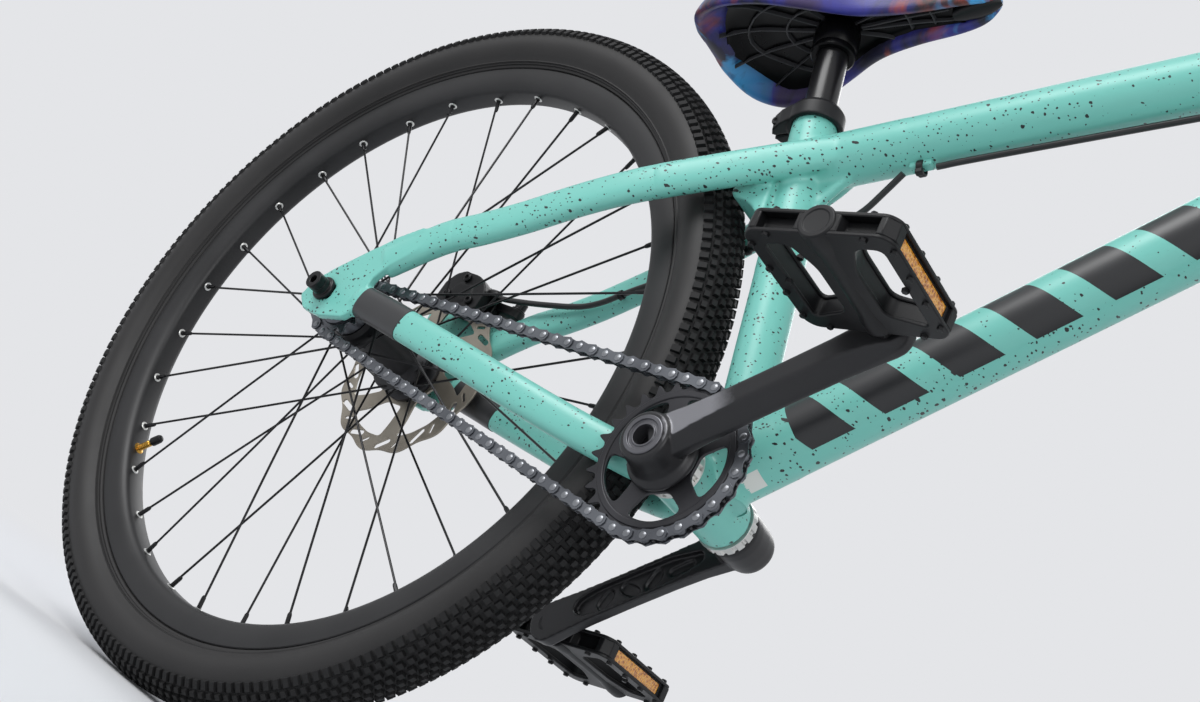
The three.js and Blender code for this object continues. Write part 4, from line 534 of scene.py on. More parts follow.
def piece(name, bm, material, body, replaces=(), bevel=0.0, angle=35, segments=2, merge=0.0005,
          subdivide=0):
    """Finishes a bmesh as a named piece that rides on that body and stands for those CAD nodes."""
    bmesh.ops.remove_doubles(bm, verts=bm.verts, dist=merge)
    bmesh.ops.recalc_face_normals(bm, faces=bm.faces)
    bmesh.ops.scale(bm, vec=(MM, MM, MM), verts=bm.verts)
    mesh = bpy.data.meshes.new(name)
    bm.to_mesh(mesh)
    bm.free()
    mesh.polygons.foreach_set("use_smooth", [True] * len(mesh.polygons))
    mesh.set_sharp_from_angle(angle=math.radians(angle))
    materials = material if isinstance(material, list) else [material]
    for one in materials:
        mesh.materials.append(one)
    obj = bpy.data.objects.new(name, mesh)
    scene.collection.objects.link(obj)
    if bevel:
        trim = obj.modifiers.new("edges", "BEVEL")
        trim.width = bevel * MM
        trim.segments = segments
        trim.limit_method = "ANGLE"
        trim.angle_limit = math.radians(angle)
        trim.harden_normals = False
    if subdivide:
        round_off = obj.modifiers.new("rounded", "SUBSURF")
        round_off.levels = round_off.render_levels = subdivide
    if body:
        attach(obj, body)
    if replaces:
        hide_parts(*replaces)
    return obj


def formed(tool, shape, name, material, body, replaces=(), **options):
    """A piece that a single mesh tool makes from that shape."""
    bm = bmesh.new()
    tool(bm, *shape)
    return piece(name, bm, material, body, replaces, **options)


def settle(obj):
    """Bakes a piece's modifiers into its mesh."""
    graph = bpy.context.evaluated_depsgraph_get()
    graph.update()
    mesh = bpy.data.meshes.new_from_object(obj.evaluated_get(graph))
    obj.modifiers.clear()
    obj.data = mesh
    mesh.polygons.foreach_set("use_smooth", [True] * len(mesh.polygons))
    return obj


def fused(name, bm, material, body, replaces=(), voxel=1.6, rounds=8):
    """Solids that are grown into one skin with soft fillets, as welds under paint are."""
    obj = piece(name, bm, material, body, replaces, angle=180)
    grow = obj.modifiers.new("grown", "REMESH")
    grow.mode = "VOXEL"
    grow.voxel_size = voxel * MM
    soften = obj.modifiers.new("softened", "SMOOTH")
    soften.factor = 0.6
    soften.iterations = rounds
    return settle(obj)


# Stage, light and camera.


def make_stage():
    """A pale floor that fades into the world's colour, so no horizon shows behind the bike."""
    bm = bmesh.new()
    half_size, sunk, near, far = 12000, 0.0005, 0.5, 1.7
    bmesh.ops.create_grid(bm, x_segments=1, y_segments=1, size=half_size)
    bmesh.ops.scale(bm, vec=(MM, MM, MM), verts=bm.verts)
    mesh = bpy.data.meshes.new("floor")
    bm.to_mesh(mesh)
    bm.free()
    floor = bpy.data.objects.new("floor", mesh)
    floor.location.z = -sunk
    scene.collection.objects.link(floor)
    mat = bpy.data.materials.new("pale_studio_floor")
    mat.use_nodes = True
    tree = mat.node_tree
    shader = tree.nodes["Principled BSDF"]
    shader.inputs["Base Color"].default_value = shade("#DEDFE1")
    shader.inputs["Roughness"].default_value = 0.9
    where = add(tree, "TexCoord").outputs["Object"]
    away = add(tree, "VectorMath", {0: where, 1: (-0.5, -0.05, 0)},
               operation="DISTANCE").outputs["Value"]
    fade = add(tree, "MapRange", {"Value": away, "From Min": near, "From Max": far},
               interpolation_type="SMOOTHSTEP")
    glow = add(tree, "Emission", {"Color": shade(BACKDROP), "Strength": 1.0})
    share = add(tree, "Math", {0: seeing_rays(tree), 1: fade}, operation="MULTIPLY")
    mixed = add(tree, "MixShader", {0: share, 1: shader, 2: glow})
    tree.links.new(mixed.outputs[0], tree.nodes["Material Output"].inputs["Surface"])
    mesh.materials.append(mat)
    world = bpy.data.worlds.new("studio")
    scene.world = world
    world.use_nodes = True
    tree = world.node_tree
    back = tree.nodes["Background"]
    colour = add(tree, "Mix", {"Factor": seeing_rays(tree), "A": shade("#B9BCC2"),
                               "B": shade(BACKDROP)}, data_type="RGBA")
    tree.links.new(colour.outputs["Result"], back.inputs["Color"])
    back.inputs["Strength"].default_value = 1.0


def soft_lamp(name, spot, target, size, power):
    """A round area lamp at a spot in metres, turned to a target."""
    light = bpy.data.lights.new(name, "AREA")
    light.shape = "DISK"
    light.size = size
    light.energy = power
    lamp = bpy.data.objects.new(name, light)
    turn = (Vector(spot) - Vector(target)).to_track_quat("Z", "Y")
    lamp.matrix_world = Matrix.Translation(spot) @ turn.to_matrix().to_4x4()
    scene.collection.objects.link(lamp)


def make_camera():
    """The photograph's place and tilt: low on the right, looking back, with the bike rolled."""
    camera = bpy.data.objects.new("camera", bpy.data.cameras.new("camera"))
    camera.data.lens = 46.6186
    camera.data.sensor_width = 36
    camera.data.clip_start = 0.01
    right = Vector((0.678949, 0.491172, 0.54569))
    up = Vector((-0.249103, -0.545058, 0.800537))
    back = Vector((0.690634, -0.679457, -0.247714))
    camera.matrix_world = placing(right, up, back, (0.493244, -0.790771, 0.105609))
    scene.collection.objects.link(camera)
    scene.camera = camera


make_stage()
make_camera()
# Name, spot, target, size in metres and power in watts.
soft_lamp("key", (-1.2, -2.6, 2.8), (-0.3, 0, 0.4), 2.2, 90)
soft_lamp("fill", (2.6, -1.8, 1.4), (0, 0, 0.4), 2.4, 40)
soft_lamp("rim", (-1.5, 2.4, 2.2), (-0.2, 0, 0.4), 1.8, 26)

# Frame.


def down_line():
    """The down tube's line: straight from the bracket, bent near the head tube."""
    start, end = DOWN_FOOT, steer(524)
    shares = [0, 0.11, 0.22, 0.33, 0.44, 0.55, 0.635, 0.72, 0.79, 0.86, 0.93, 1]
    bows = [0, 8.65, 17.3, 25.9, 34.6, 43.2, 43.3, 41, 33.5, 24, 12.5, 0]
    return smooth_line([start.lerp(end, s) + UP * b for s, b in zip(shares, bows)], 4)


def stay_line(kind, side):
    """The middle line of a stay, from the dropout forward."""
    routes = {"chain": [(0.1, 1.0, 0.012), (0.2, 1.0, 0.004), (0.3, 0.992, -0.006),
                        (0.43, 0.95, -0.018), (0.56, 0.879, -0.03), (0.66, 0.77, -0.037),
                        (0.76, 0.635, -0.042), (0.86, 0.51, -0.044), (0.93, 0.39, -0.042),
                        (1.0, 0.284, -0.038)], "seat": [(0.1, 1.0, 0.112), (0.2, 0.975, 0.205),
        (0.28, 0.94, 0.256), (0.36, 0.896, 0.312), (0.46, 0.83, 0.392), (0.56, 0.749, 0.463),
        (0.68, 0.567, 0.548), (0.785, 0.352, 0.63)]}
    spots = [REAR + Vector((REACH * a, side * HUB_HALF * o, REACH * u)) for a, o, u in routes[kind]]
    return smooth_line(spots, 4)


TOP_START, TOP_END = Vector((-239.44, 0, 586.4)), steer(572)
HEAD_BOTTOM, HEAD_TOP = steer(474), steer(598)
DOWN_RADIUS, TOP_RADIUS, SEAT_RADIUS = 23.6, 20.3, 17.3
STAY_HALVES = {"chain": (8.2, 13.2), "seat": (8.2, 14.2)}
STAY_SQUARE = 0.8


def stub(bm, line, half, sides=32, square=1.0, grow=0.35):
    """A short length of tube that dips under the tube's own skin at its far end."""
    wide, tall = half if isinstance(half, tuple) else (half, half)
    halves = [(wide + grow, tall + grow)] * (len(line) - 1) + [(wide - 1.2, tall - 1.2)]
    tube(bm, line, halves, sides, square)


def make_frame():
    """Tube skins, and the welds that join them as soft fused clusters."""
    down = down_line()
    formed(tube, (down, DOWN_RADIUS, 64), "down_tube_skin", PAINT_BLOCKS, "frame", ["down_tube"])
    formed(tube, ([TOP_START.lerp(TOP_END, k / 12) for k in range(13)], TOP_RADIUS, 64),
           "top_tube_skin", PAINT, "frame", ["top_tube"])
    bm = bmesh.new()
    tube(bm, [seat(k) for k in (0, 60, 120, 180, 240, 300, 329)], SEAT_RADIUS, 56, capped=False)
    turned(bm, [(329, SEAT_RADIUS), (336, 17.2), (336.4, 16.6), (336.4, 13.1), (325, 13.1)],
           SEAT_FOOT, SEAT_UP, 56)
    piece("seat_tube_skin", bm, PAINT, "frame", ["seat_tube"])
    for side, name in SIDES:
        for kind, node in (("chain", "chainstay"), ("seat", "seatstay")):
            formed(tube, (stay_line(kind, side), STAY_HALVES[kind], 40, STAY_SQUARE),
                   f"{node}_{name}_skin", PAINT, "frame", [f"{node}_{name}"])
        band = stay_line("chain", side)[1:8]
        formed(tube, (band, (8.75, 13.75), 40, STAY_SQUARE), f"painted_band_{name}", BAND, "frame",
               bevel=0.4)

    bm = bmesh.new()
    axis = (HEAD_TOP - HEAD_BOTTOM).normalized()
    turned(bm, [(0, 25.5), (0.8, 26.6), (7, 26.6), (12, 24.6), (20, 24.1), (104, 24.1), (112, 24.6),
                (117, 26.6), (123.2, 26.6), (124, 25.5), (124, 18), (0, 18)], HEAD_BOTTOM, axis, 64,
           closed=True)
    tops = [TOP_END.lerp(TOP_START, k) for k in (0.0, 0.03, 0.06, 0.09, 0.12)]
    stub(bm, tops, TOP_RADIUS)
    stub(bm, down[:-9:-1], DOWN_RADIUS)
    fused("head_cluster", bm, PAINT, "frame", ["head_tube"], voxel=1.5, rounds=6)

    bm = bmesh.new()
    stub(bm, [TOP_START.lerp(TOP_END, k) for k in (0.0, 0.05, 0.1, 0.14, 0.18)], TOP_RADIUS)
    stub(bm, [seat(k) for k in (324, 300, 270, 240, 210, 185, 178)], SEAT_RADIUS)
    for side in (-1, 1):
        # Each stay runs on past the seat tube and sinks into the top tube's flank.
        line = [Vector((-188, side * 5, 612)), Vector((-202, side * 11, 604)),
                Vector((-219, side * 17.5, 590))] + stay_line("seat", side)[:-10:-1]
        halves = [(3, 7), (5.6, 10.5), (7.8, 13.4)] + [(8.6, 14.6)] * 8 + [(7, 13)]
        tube(bm, line, halves, 32, STAY_SQUARE)
    web = [seat(285, -10), seat(266, -32), seat(258, -45), seat(250, -44), seat(245, -33),
           seat(238, -25), seat(229, -19), seat(217, -13)]
    plate(bm, side_outline(web, SEAT_FOOT), [], side_plane(SEAT_FOOT), 42)
    gusset = [seat(262, 8), seat(277, 46), seat(267, 41), seat(253, 27), seat(243, 19),
              seat(230, 12)]
    plate(bm, side_outline(gusset, SEAT_FOOT), [], side_plane(SEAT_FOOT), 8)
    fused("seat_cluster", bm, PAINT, "frame", ["seatstay_bridge", "top_tube_gusset"], voxel=1.6,
          rounds=9)

    bm = bmesh.new()
    turned(bm, [(-36.5, 0), (-36.5, 20.2), (-35.9, 20.8), (35.9, 20.8), (36.5, 20.2), (36.5, 0)],
           BRACKET, LEFT, 64)
    stub(bm, down[:5], DOWN_RADIUS)
    stub(bm, [seat(k) for k in (0, 20, 40, 60, 75)], SEAT_RADIUS)
    for side in (-1, 1):
        stub(bm, stay_line("chain", side)[:-12:-1], STAY_HALVES["chain"], 32, STAY_SQUARE)
    fused("bracket_cluster", bm, PAINT, "frame", ["bottom_bracket_shell"], voxel=1.6, rounds=8)

    right = [(-0.063, -0.03), (-0.052, 0.014), (-0.01, 0.062), (0.045, 0.115), (0.1, 0.168),
             (0.15, 0.205), (0.185, 0.2), (0.175, 0.15), (0.13, 0.1), (0.11, 0.06), (0.112, 0.035),
             (0.114, 0.0), (0.112, -0.028), (0.1, -0.042), (0.03, -0.058), (-0.03, -0.055)]
    left = [(-0.063, -0.03), (-0.064, 0.02), (-0.1, 0.08), (-0.135, 0.15), (-0.135, 0.2125),
            (-0.05, 0.2125), (0.05, 0.2125), (0.14, 0.2125)] + right[6:]
    for side, name, outline in ((-1, "right", right), (1, "left", left)):
        bm = bmesh.new()
        slot = [(-7, -6), (-5, -7), (8, -7), (10, -5), (10, 5), (8, 7), (-5, 7), (-7, 6)]
        plate(bm, [(x * REACH, z * REACH) for x, z in outline], [slot],
              side_plane(REAR + LEFT * side * 71), 7.4)
        for kind in ("chain", "seat"):
            stub(bm, stay_line(kind, side)[:7], STAY_HALVES[kind], 32, STAY_SQUARE, 0.3)
        fused(f"dropout_{name}_skin", bm, PAINT, "frame", [f"dropout_{name}"], voxel=1.2, rounds=5)

    # Blank label where the photograph has a small printed one.
    bm = bmesh.new()
    rings = []
    for along in (-7.5, 7.5):
        base = DOWN_FOOT + DOWN_ALONG * (31 + along)
        rings.append([bm.verts.new(base + (DOWN_ACROSS * math.sin(a) - LEFT * math.cos(a)) * 23.75)
                      for a in [math.radians(-88 + 4.5 * k) for k in range(9)]])
    for near, far in zip(zip(rings[0], rings[0][1:]), zip(rings[1], rings[1][1:])):
        bmesh.ops.contextual_create(bm, geom=[near[0], near[1], far[0], far[1]])
    piece("blank_label", bm, LABEL, "frame")


make_frame()

# Wheels.


SPOKE_COUNT, FIRST_SPOKE, VALVE_ANGLE = 32, 116.28, 223.2
SPOKE_STEP = 360 / SPOKE_COUNT
CROSSING = 67.5
NIPPLE_OUT = 1.7
CASING_MIDDLE = 308
KNOB_ROUNDS = 224


def flipped(half):
    """The other side of a profile, back from its end."""
    return [(-along, radius) for along, radius in half[::-1]]


def mirrored(half):
    """A whole profile from the half on one side of its middle, which starts in the middle."""
    return half + flipped(half[1:])


def on_wheel(centre, radius, angle, left):
    """A spot on a wheel, by its angle from forward towards up."""
    return Vector((centre.x + radius * math.cos(angle), left, centre.z + radius * math.sin(angle)))


def make_tyre(prefix, centre, body):
    """One casing with nine offset rows of small square knobs."""
    bm = bmesh.new()
    rows = [(-62, 8.0), (-45, 5.0), (-30, 5.0), (-15, 5.0), (0, 5.0), (15, 5.0), (30, 5.0),
            (45, 5.0), (62, 8.0)]
    for row, (tilt, wide) in enumerate(rows):
        tilt, around = math.radians(tilt), (row % 2) * TURN / KNOB_ROUNDS / 2
        away = facing(around)
        spot = on_wheel(centre, CASING_MIDDLE + 24.9 * math.cos(tilt), around,
                        27.4 * math.sin(tilt))
        place = framed(spot, away * math.cos(tilt) + LEFT * math.sin(tilt), LEFT.cross(away))
        bmesh.ops.create_cone(bm, cap_ends=True, segments=4, radius1=0.707, radius2=0.58, depth=1,
                              matrix=place @ Matrix.Diagonal((wide, 5.6, 3.9,
            1)) @ Matrix.Rotation(math.pi / 4, 4, "Z"))
    bmesh.ops.spin(bm, geom=bm.verts[:] + bm.edges[:] + bm.faces[:], cent=centre, axis=LEFT,
                   dvec=(0, 0, 0), angle=TURN * (KNOB_ROUNDS - 1) / KNOB_ROUNDS,
                   steps=KNOB_ROUNDS - 1, use_duplicate=True)
    knobs = len(bm.faces)
    upper = [math.radians(a) for a in range(0, 91, 10)]
    lower = [math.radians(a) for a in (9, 18, 27, 35, 42)]
    half = [(26.9 * math.sin(a), CASING_MIDDLE + 23.4 * math.cos(a)) for a in upper]
    half += [(27.0 * math.cos(a), CASING_MIDDLE - 23 * math.sin(a)) for a in lower]
    half += [(19.2, 291.2), (19.3, 290.2), (17.6, 289.6), (17.3, 288.6), (15.9, 288.2),
             (15.2, 286.6), (13.4, 285.8), (12.4, 283)]
    inner = [(11.4, 284.5), (14, 290), (21.5, 299), (24.4, 308), (22.6, 318), (16, 325.5),
             (8, 328.6)]
    profile = half + inner + [(0, 329)] + flipped(inner) + flipped(half[1:])
    turned(bm, profile, centre, LEFT, 144, closed=True)
    bm.faces.ensure_lookup_table()
    tread_edge = 319
    for face in bm.faces[knobs:]:
        middle = face.calc_center_median() - centre
        if math.hypot(middle.x, middle.z) < tread_edge:
            face.material_index = 1
    piece(f"{prefix}_tyre_tread", bm, [RUBBER, SIDEWALL], body, [f"{prefix}_tyre"])


def make_rim(prefix, centre, body):
    """A double-walled rim with hooked edges, steel eyelets, and the inner tube's valve."""
    bm = bmesh.new()
    half = [(12.5, 279.5), (12.5, 284.4), (13.2, 285.4), (14.4, 285.4), (15, 284.6), (15.2, 280),
            (14.9, 275.5), (14.1, 271), (12.8, 267.2), (11.0, 264.5), (9.0, 263.1), (7.0, 262.5)]
    inner = [(-9.5, 277.8), (-6.5, 273.5), (6.5, 273.5), (9.5, 277.8)]
    profile = half + flipped(half) + inner
    turned(bm, profile, centre, LEFT, 160, closed=True)
    piece(f"{prefix}_rim_extrusion", bm, RIM, body, [f"{prefix}_rim"], angle=28)
    bm = bmesh.new()
    eyelet = [(-0.4, 2.3), (-0.4, 4.1), (0.3, 4.0), (0.9, 3.2), (0.9, 2.3)]
    for n in range(SPOKE_COUNT):
        angle = math.radians(FIRST_SPOKE + SPOKE_STEP * n)
        spot = on_wheel(centre, 262.6, angle, NIPPLE_OUT if n % 2 else -NIPPLE_OUT)
        turned(bm, eyelet, spot, centre - on_wheel(centre, 9, angle, 0), 14, closed=True)
    piece(f"{prefix}_eyelets", bm, CUP, body)
    bm = bmesh.new()
    foot = on_wheel(centre, 264, math.radians(VALVE_ANGLE), 0)
    inward = (centre - foot).normalized()
    thread = [(k * 0.9, 3.05 if k % 2 else 2.75) for k in range(14)]
    turned(bm, [(0, 0), (0, 5.2), (1.6, 5.2), (2.4, 3.2)] + [(a + 2.6, r) for a, r in thread]
           + [(15, 2.4), (22, 2.3), (22, 0)], foot, inward, 24)
    piece(f"{prefix}_valve_stem", bm, BRASS, body)
    formed(turned, ([(17, 2.5), (17, 3.6), (18, 4.0), (25.5, 3.8), (27.6, 2.9), (28.2, 1.2),
                     (28.2, 0)], foot, inward, 24), f"{prefix}_valve_cap", PLASTIC, body, bevel=0.3)


def make_spokes(prefix, centre, body, offsets):
    """Thirty-two laced spokes with elbows and heads at the flanges and nipples at the rim."""
    nipples = bmesh.new()
    for side, name, offset in ((-1, "right", offsets[0]), (1, "left", offsets[1])):
        bm = bmesh.new()
        for k in range(SPOKE_COUNT // 2):
            n = 2 * k + (side > 0)
            rim_angle = math.radians(FIRST_SPOKE + SPOKE_STEP * n)
            hub_angle = rim_angle + math.radians(-CROSSING if k % 2 else CROSSING)
            out = 2.7 if k % 2 else -2.7
            head = on_wheel(centre, 26, hub_angle, offset - out)
            elbow = on_wheel(centre, 26.1, hub_angle, offset + out * 0.8)
            end = on_wheel(centre, 259, rim_angle, side * NIPPLE_OUT)
            leave = elbow.lerp(end, 0.011)
            leave.y += out * 0.3
            tube(bm, [head, elbow, leave, elbow.lerp(end, 0.5), end], 1.0, 8)
            turned(bm, [(-0.5, 0), (-0.5, 1.9), (0.5, 1.9), (0.9, 1.0)], head, LEFT, 8)
            seat_spot = on_wheel(centre, 263.4, rim_angle, side * NIPPLE_OUT)
            heading = (elbow - seat_spot).normalized()
            turned(nipples, [(0, 0), (0, 2.35), (2.0, 2.35), (2.4, 1.95), (10.8, 1.85),
                             (12.6, 1.25), (12.6, 1.0)], seat_spot, heading, 8)
        piece(f"{prefix}_laced_spokes_{name}", bm, OXIDE, body, [f"{prefix}_spokes_{name}"])
    piece(f"{prefix}_nipples", nipples, OXIDE, body)


BOLT_CIRCLE = 27.5


def make_rear_hub():
    """Hub shell with its flanges and driver side, and the wavy rotor on its six bolts."""
    formed(turned, ([(-35.5, 5.5), (-35.5, 19), (-31, 20.5), (-29.4, 28), (-28.4, 29), (-25.8, 29),
                     (-24.8, 28), (-22.4, 21.5), (-12, 20.4), (16, 20.4), (27, 21.5), (30.6, 28),
                     (31.4, 29), (34.4, 29), (35.3, 28), (37.6, 20.6), (44, 20.2), (46.8, 28.2),
                     (47.6, 29), (50.6, 29), (50.6, 21.5), (54, 21.5), (55.8, 16), (57, 9.5),
                     (67.1, 9.5), (67.1, 5.5)], REAR, LEFT, 64, True), "rear_hub_shell", ANODISED,
           "rear_wheel", ["rear_hub"])

    bm = bmesh.new()
    place = framed(REAR + LEFT * 52, LEFT)
    waves = 12
    edge = [polar(78.2 + 1.8 * math.cos(waves * t), t) for t in [TURN * i / 144
        for i in range(144)]]
    holes = [circle(21.8, 36)]
    for i in range(6):
        a = TURN * i / 6
        holes.append(rounded([polar(r, a + b) for r, b in ((33.5, 0.16), (33.5, 0.76), (50, 0.98),
            (64, 1.12), (64.5, 0.86), (64.5, 0.6), (64, 0.36), (50, 0.28))], 4))
        holes.append(circle(2.6, 10, polar(BOLT_CIRCLE, a)))
    for i in range(waves):
        a = TURN * (i + 0.5) / waves
        holes.append(capsule(polar(67.6, a - 0.1), polar(73.4, a + 0.06), 2.3))
        b = TURN * i / waves
        holes.append(capsule(polar(68.5, b), polar(73.6, b + 0.07), 1.3))
    plate(bm, edge, holes, place, 1.9)
    piece("rear_rotor_disc", bm, ROTOR, "rear_wheel", ["rear_rotor"], bevel=0.25, segments=1)
    bm = bmesh.new()
    for i in range(6):
        a = TURN * i / 6
        spot = place @ Vector((*polar(BOLT_CIRCLE, a), 0.95))
        turned(bm, [(0, 0), (0, 4.3), (1.6, 4.1), (2.3, 3.2), (2.3, 1.7), (0.9, 1.6), (0.9, 0)],
               spot, LEFT, 20)
    piece("rotor_bolts", bm, OXIDE, "rear_wheel")


def make_front_hub():
    """A waisted shell between two flanges."""
    bm = bmesh.new()
    half = [(0, 15.2), (14, 15.6), (24, 18.5), (26.6, 28), (27.4, 29), (30.4, 29), (31.2, 28),
            (34, 19), (42, 16.2), (49.6, 15.6), (49.6, 8)]
    turned(bm, mirrored(half), FRONT, LEFT, 56, closed=True)
    piece("front_hub_shell", bm, ANODISED, "front_wheel", ["front_hub"])


for prefix, centre, body, offsets in (("rear", REAR, "rear_wheel", (-27, 33)), ("front", FRONT,
        "front_wheel", (-29, 29))):
    make_tyre(prefix, centre, body)
    make_rim(prefix, centre, body)
    make_spokes(prefix, centre, body, offsets)
make_rear_hub()
make_front_hub()

# Chain, toothed wheels and cranks.
PITCH = 12.701997
CHAIN_LINKS = 81
RING_TEETH, COG_TEETH = 28, 13
RING_PITCH, COG_PITCH = RING_TEETH * PITCH / TURN, COG_TEETH * PITCH / TURN
SPAN = (BRACKET - REAR).length
LEAN = math.atan2((BRACKET - REAR).z, (BRACKET - REAR).x)
BELT_TILT = math.asin((RING_PITCH - COG_PITCH) / SPAN)
CRANK_ALONG = facing(CRANK_ANGLE)


def chain_spot(distance):
    """A spot on the chain's line, from the ring's upper contact going forward."""
    upper, lower = LEAN + math.pi / 2 + BELT_TILT, LEAN - math.pi / 2 - BELT_TILT
    free = math.sqrt(SPAN ** 2 - (RING_PITCH - COG_PITCH) ** 2)
    ring_arc, cog_arc = RING_PITCH * (math.pi + 2 * BELT_TILT), COG_PITCH * (math.pi - 2
        * BELT_TILT)
    s = distance % (2 * free + ring_arc + cog_arc)
    if s < ring_arc:
        centre, radius, angle, slide = BRACKET, RING_PITCH, upper - s / RING_PITCH, 0
    elif s < ring_arc + free:
        centre, radius, angle, slide = BRACKET, RING_PITCH, lower, s - ring_arc
    elif s < ring_arc + free + cog_arc:
        centre, radius, angle, slide = REAR, COG_PITCH, lower - (s - ring_arc - free) / COG_PITCH, 0
    else:
        centre, radius, angle, slide = REAR, COG_PITCH, upper, s - ring_arc - free - cog_arc
    away, on = facing(angle), Vector((math.sin(angle), 0, -math.cos(angle)))
    return centre + away * radius + on * slide + LEFT * RING_PLANE


def make_chain():
    """Inner and outer links in turn, with one cranked link because the count is odd."""
    pins = [chain_spot((i + 0.5) * PITCH) for i in range(CHAIN_LINKS)]
    waist = 3.3
    shape = [(6.35 + 4.7 * math.cos(a), 4.7 * math.sin(a)) for a in [math.radians(d) for d in (-122,
        -80, -40, 0, 40, 80, 122)]]
    outline = shape + [(0, waist)] + [(-x, -y) for x, y in shape] + [(0, -waist)]
    plates, heads, rollers = bmesh.new(), bmesh.new(), bmesh.new()
    for i, pin in enumerate(pins):
        after = pins[(i + 1) % CHAIN_LINKS]
        for side in (-1, 1):
            near, far = (3.05, 3.05) if i % 2 else (2.08, 2.08)
            if i == CHAIN_LINKS - 1:
                near, far = 2.08, 3.05
            x = (after - pin + LEFT * side * (far - near)).normalized()
            z = (LEFT - x * x.dot(LEFT)).normalized()
            place = placing(x, z.cross(x), z, pin.lerp(after, 0.5) + LEFT * side * (near + far) / 2)
            plate(plates, outline, [], place, 0.92)
        for side in (-1, 1):
            turned(heads, [(3.3, 0), (3.3, 2.8), (3.8, 2.7), (4.2, 2.0), (4.25, 0)], pin,
                   LEFT * side, 10)
        turned(rollers, [(-1.55, 0), (-1.55, 3.4), (-1.2, 3.72), (1.2, 3.72), (1.55, 3.4),
                         (1.55, 0)], pin, LEFT, 10)
    piece("chain_plates", plates, CHAIN, "frame", ["chain"])
    piece("chain_pin_heads", heads, PIN, "frame")
    piece("chain_rollers", rollers, CHAIN, "frame")


def toothed(count, pitch_radius, first):
    """A toothed wheel's outline: round seats for the rollers and narrow tips between them."""
    tip = 3.3
    tooth = ((0.0, -4.0), (0.13, -3.7), (0.25, -2.3), (0.37, tip * 0.4), (0.45, tip), (0.55, tip),
             (0.63, tip * 0.4), (0.75, -2.3), (0.87, -3.7))
    outline = []
    for i in range(count):
        a = first + TURN * i / count
        for share, above in tooth:
            outline.append(polar(pitch_radius + above, a + TURN / count * share))
    return outline


def make_toothed_wheels():
    """Chainring with five windows and a machined rim, and the sprocket on its driver."""
    windows = []
    for i in range(5):
        a = CRANK_ANGLE + TURN * i / 5
        corners = [(44.5, 0.15), (45.5, 0.4), (46, 0.6283), (45.5, 0.857), (44.5, 1.107),
                   (26.5, 0.96), (25.5, 0.6283), (26.5, 0.3)]
        windows.append(rounded([polar(r, a + b) for r, b in corners], 7))
    bm = bmesh.new()
    outline, holes = toothed(RING_TEETH, RING_PITCH, -0.06794), [circle(12.4, 40)] + windows
    plate(bm, outline, holes, side_plane(BRACKET + LEFT * RING_PLANE), 2.4)
    piece("chainring_blade", bm, RING, "crankset", ["chainring"], bevel=0.45, segments=2)
    formed(turned, ([(-1.5, 46.2), (1.5, 46.2), (2.1, 46.9), (2.1, 50.4), (1.5, 51.1),
                     (-1.5, 51.1)], BRACKET + LEFT * RING_PLANE, -LEFT, 112, True),
           "chainring_machined_rim", RING, "crankset", bevel=0.2)

    bm = bmesh.new()
    plate(bm, toothed(COG_TEETH, COG_PITCH, -2.03925), [circle(18.2, 40)],
          side_plane(REAR + LEFT * RING_PLANE), 2.3)
    turned(bm, [(-67.1, 5.5), (-67.1, 9.5), (-58, 9.5), (-57, 13), (-54.5, 16.5), (-53, 18.2),
                (-36, 18.2), (-36, 5.5)], REAR, LEFT, 48, closed=True)
    piece("rear_sprocket_and_driver", bm, CHAIN, "driver", ["rear_sprocket"], bevel=0.3)


def eye_spot(side):
    """The middle of a crank's pedal eye, in the bike's middle plane."""
    return BRACKET + CRANK_ALONG * -side * CRANK_LENGTH


def crank_place(side, along, out):
    """A placing on a crank arm: X along it, Y across it, Z outward."""
    boss_out, splay = 68.5, 20.5
    x = (CRANK_ALONG * -side * CRANK_LENGTH + LEFT * side * splay).normalized()
    z = LEFT * side - x * x.dot(LEFT * side)
    z.normalize()
    return placing(x, z.cross(x), z, BRACKET + LEFT * side * boss_out + x * along + z * out)


def crank_loops(bm, side, stations):
    """Bridges cross-sections: (along, half width, inner face, outer face, ridge width)."""
    rings = []
    for along, half, low, high, ridge in stations:
        base = crank_place(side, along, 0)
        deep = high - low
        section = rounded([(-half, low), (half, low), (half, low + deep * 0.75), (half - 2, high),
                           (-half * (2 * ridge - 1), high), (-half, low + deep * (ridge - 0.2))],
                          1.4, 3)
        across = placing(base.col[1].xyz, base.col[2].xyz, base.col[0].xyz, base.translation)
        rings.append(closed_loop(bm, [across @ Vector((x, y, 0)) for x, y in section]))
    skin(bm, rings)


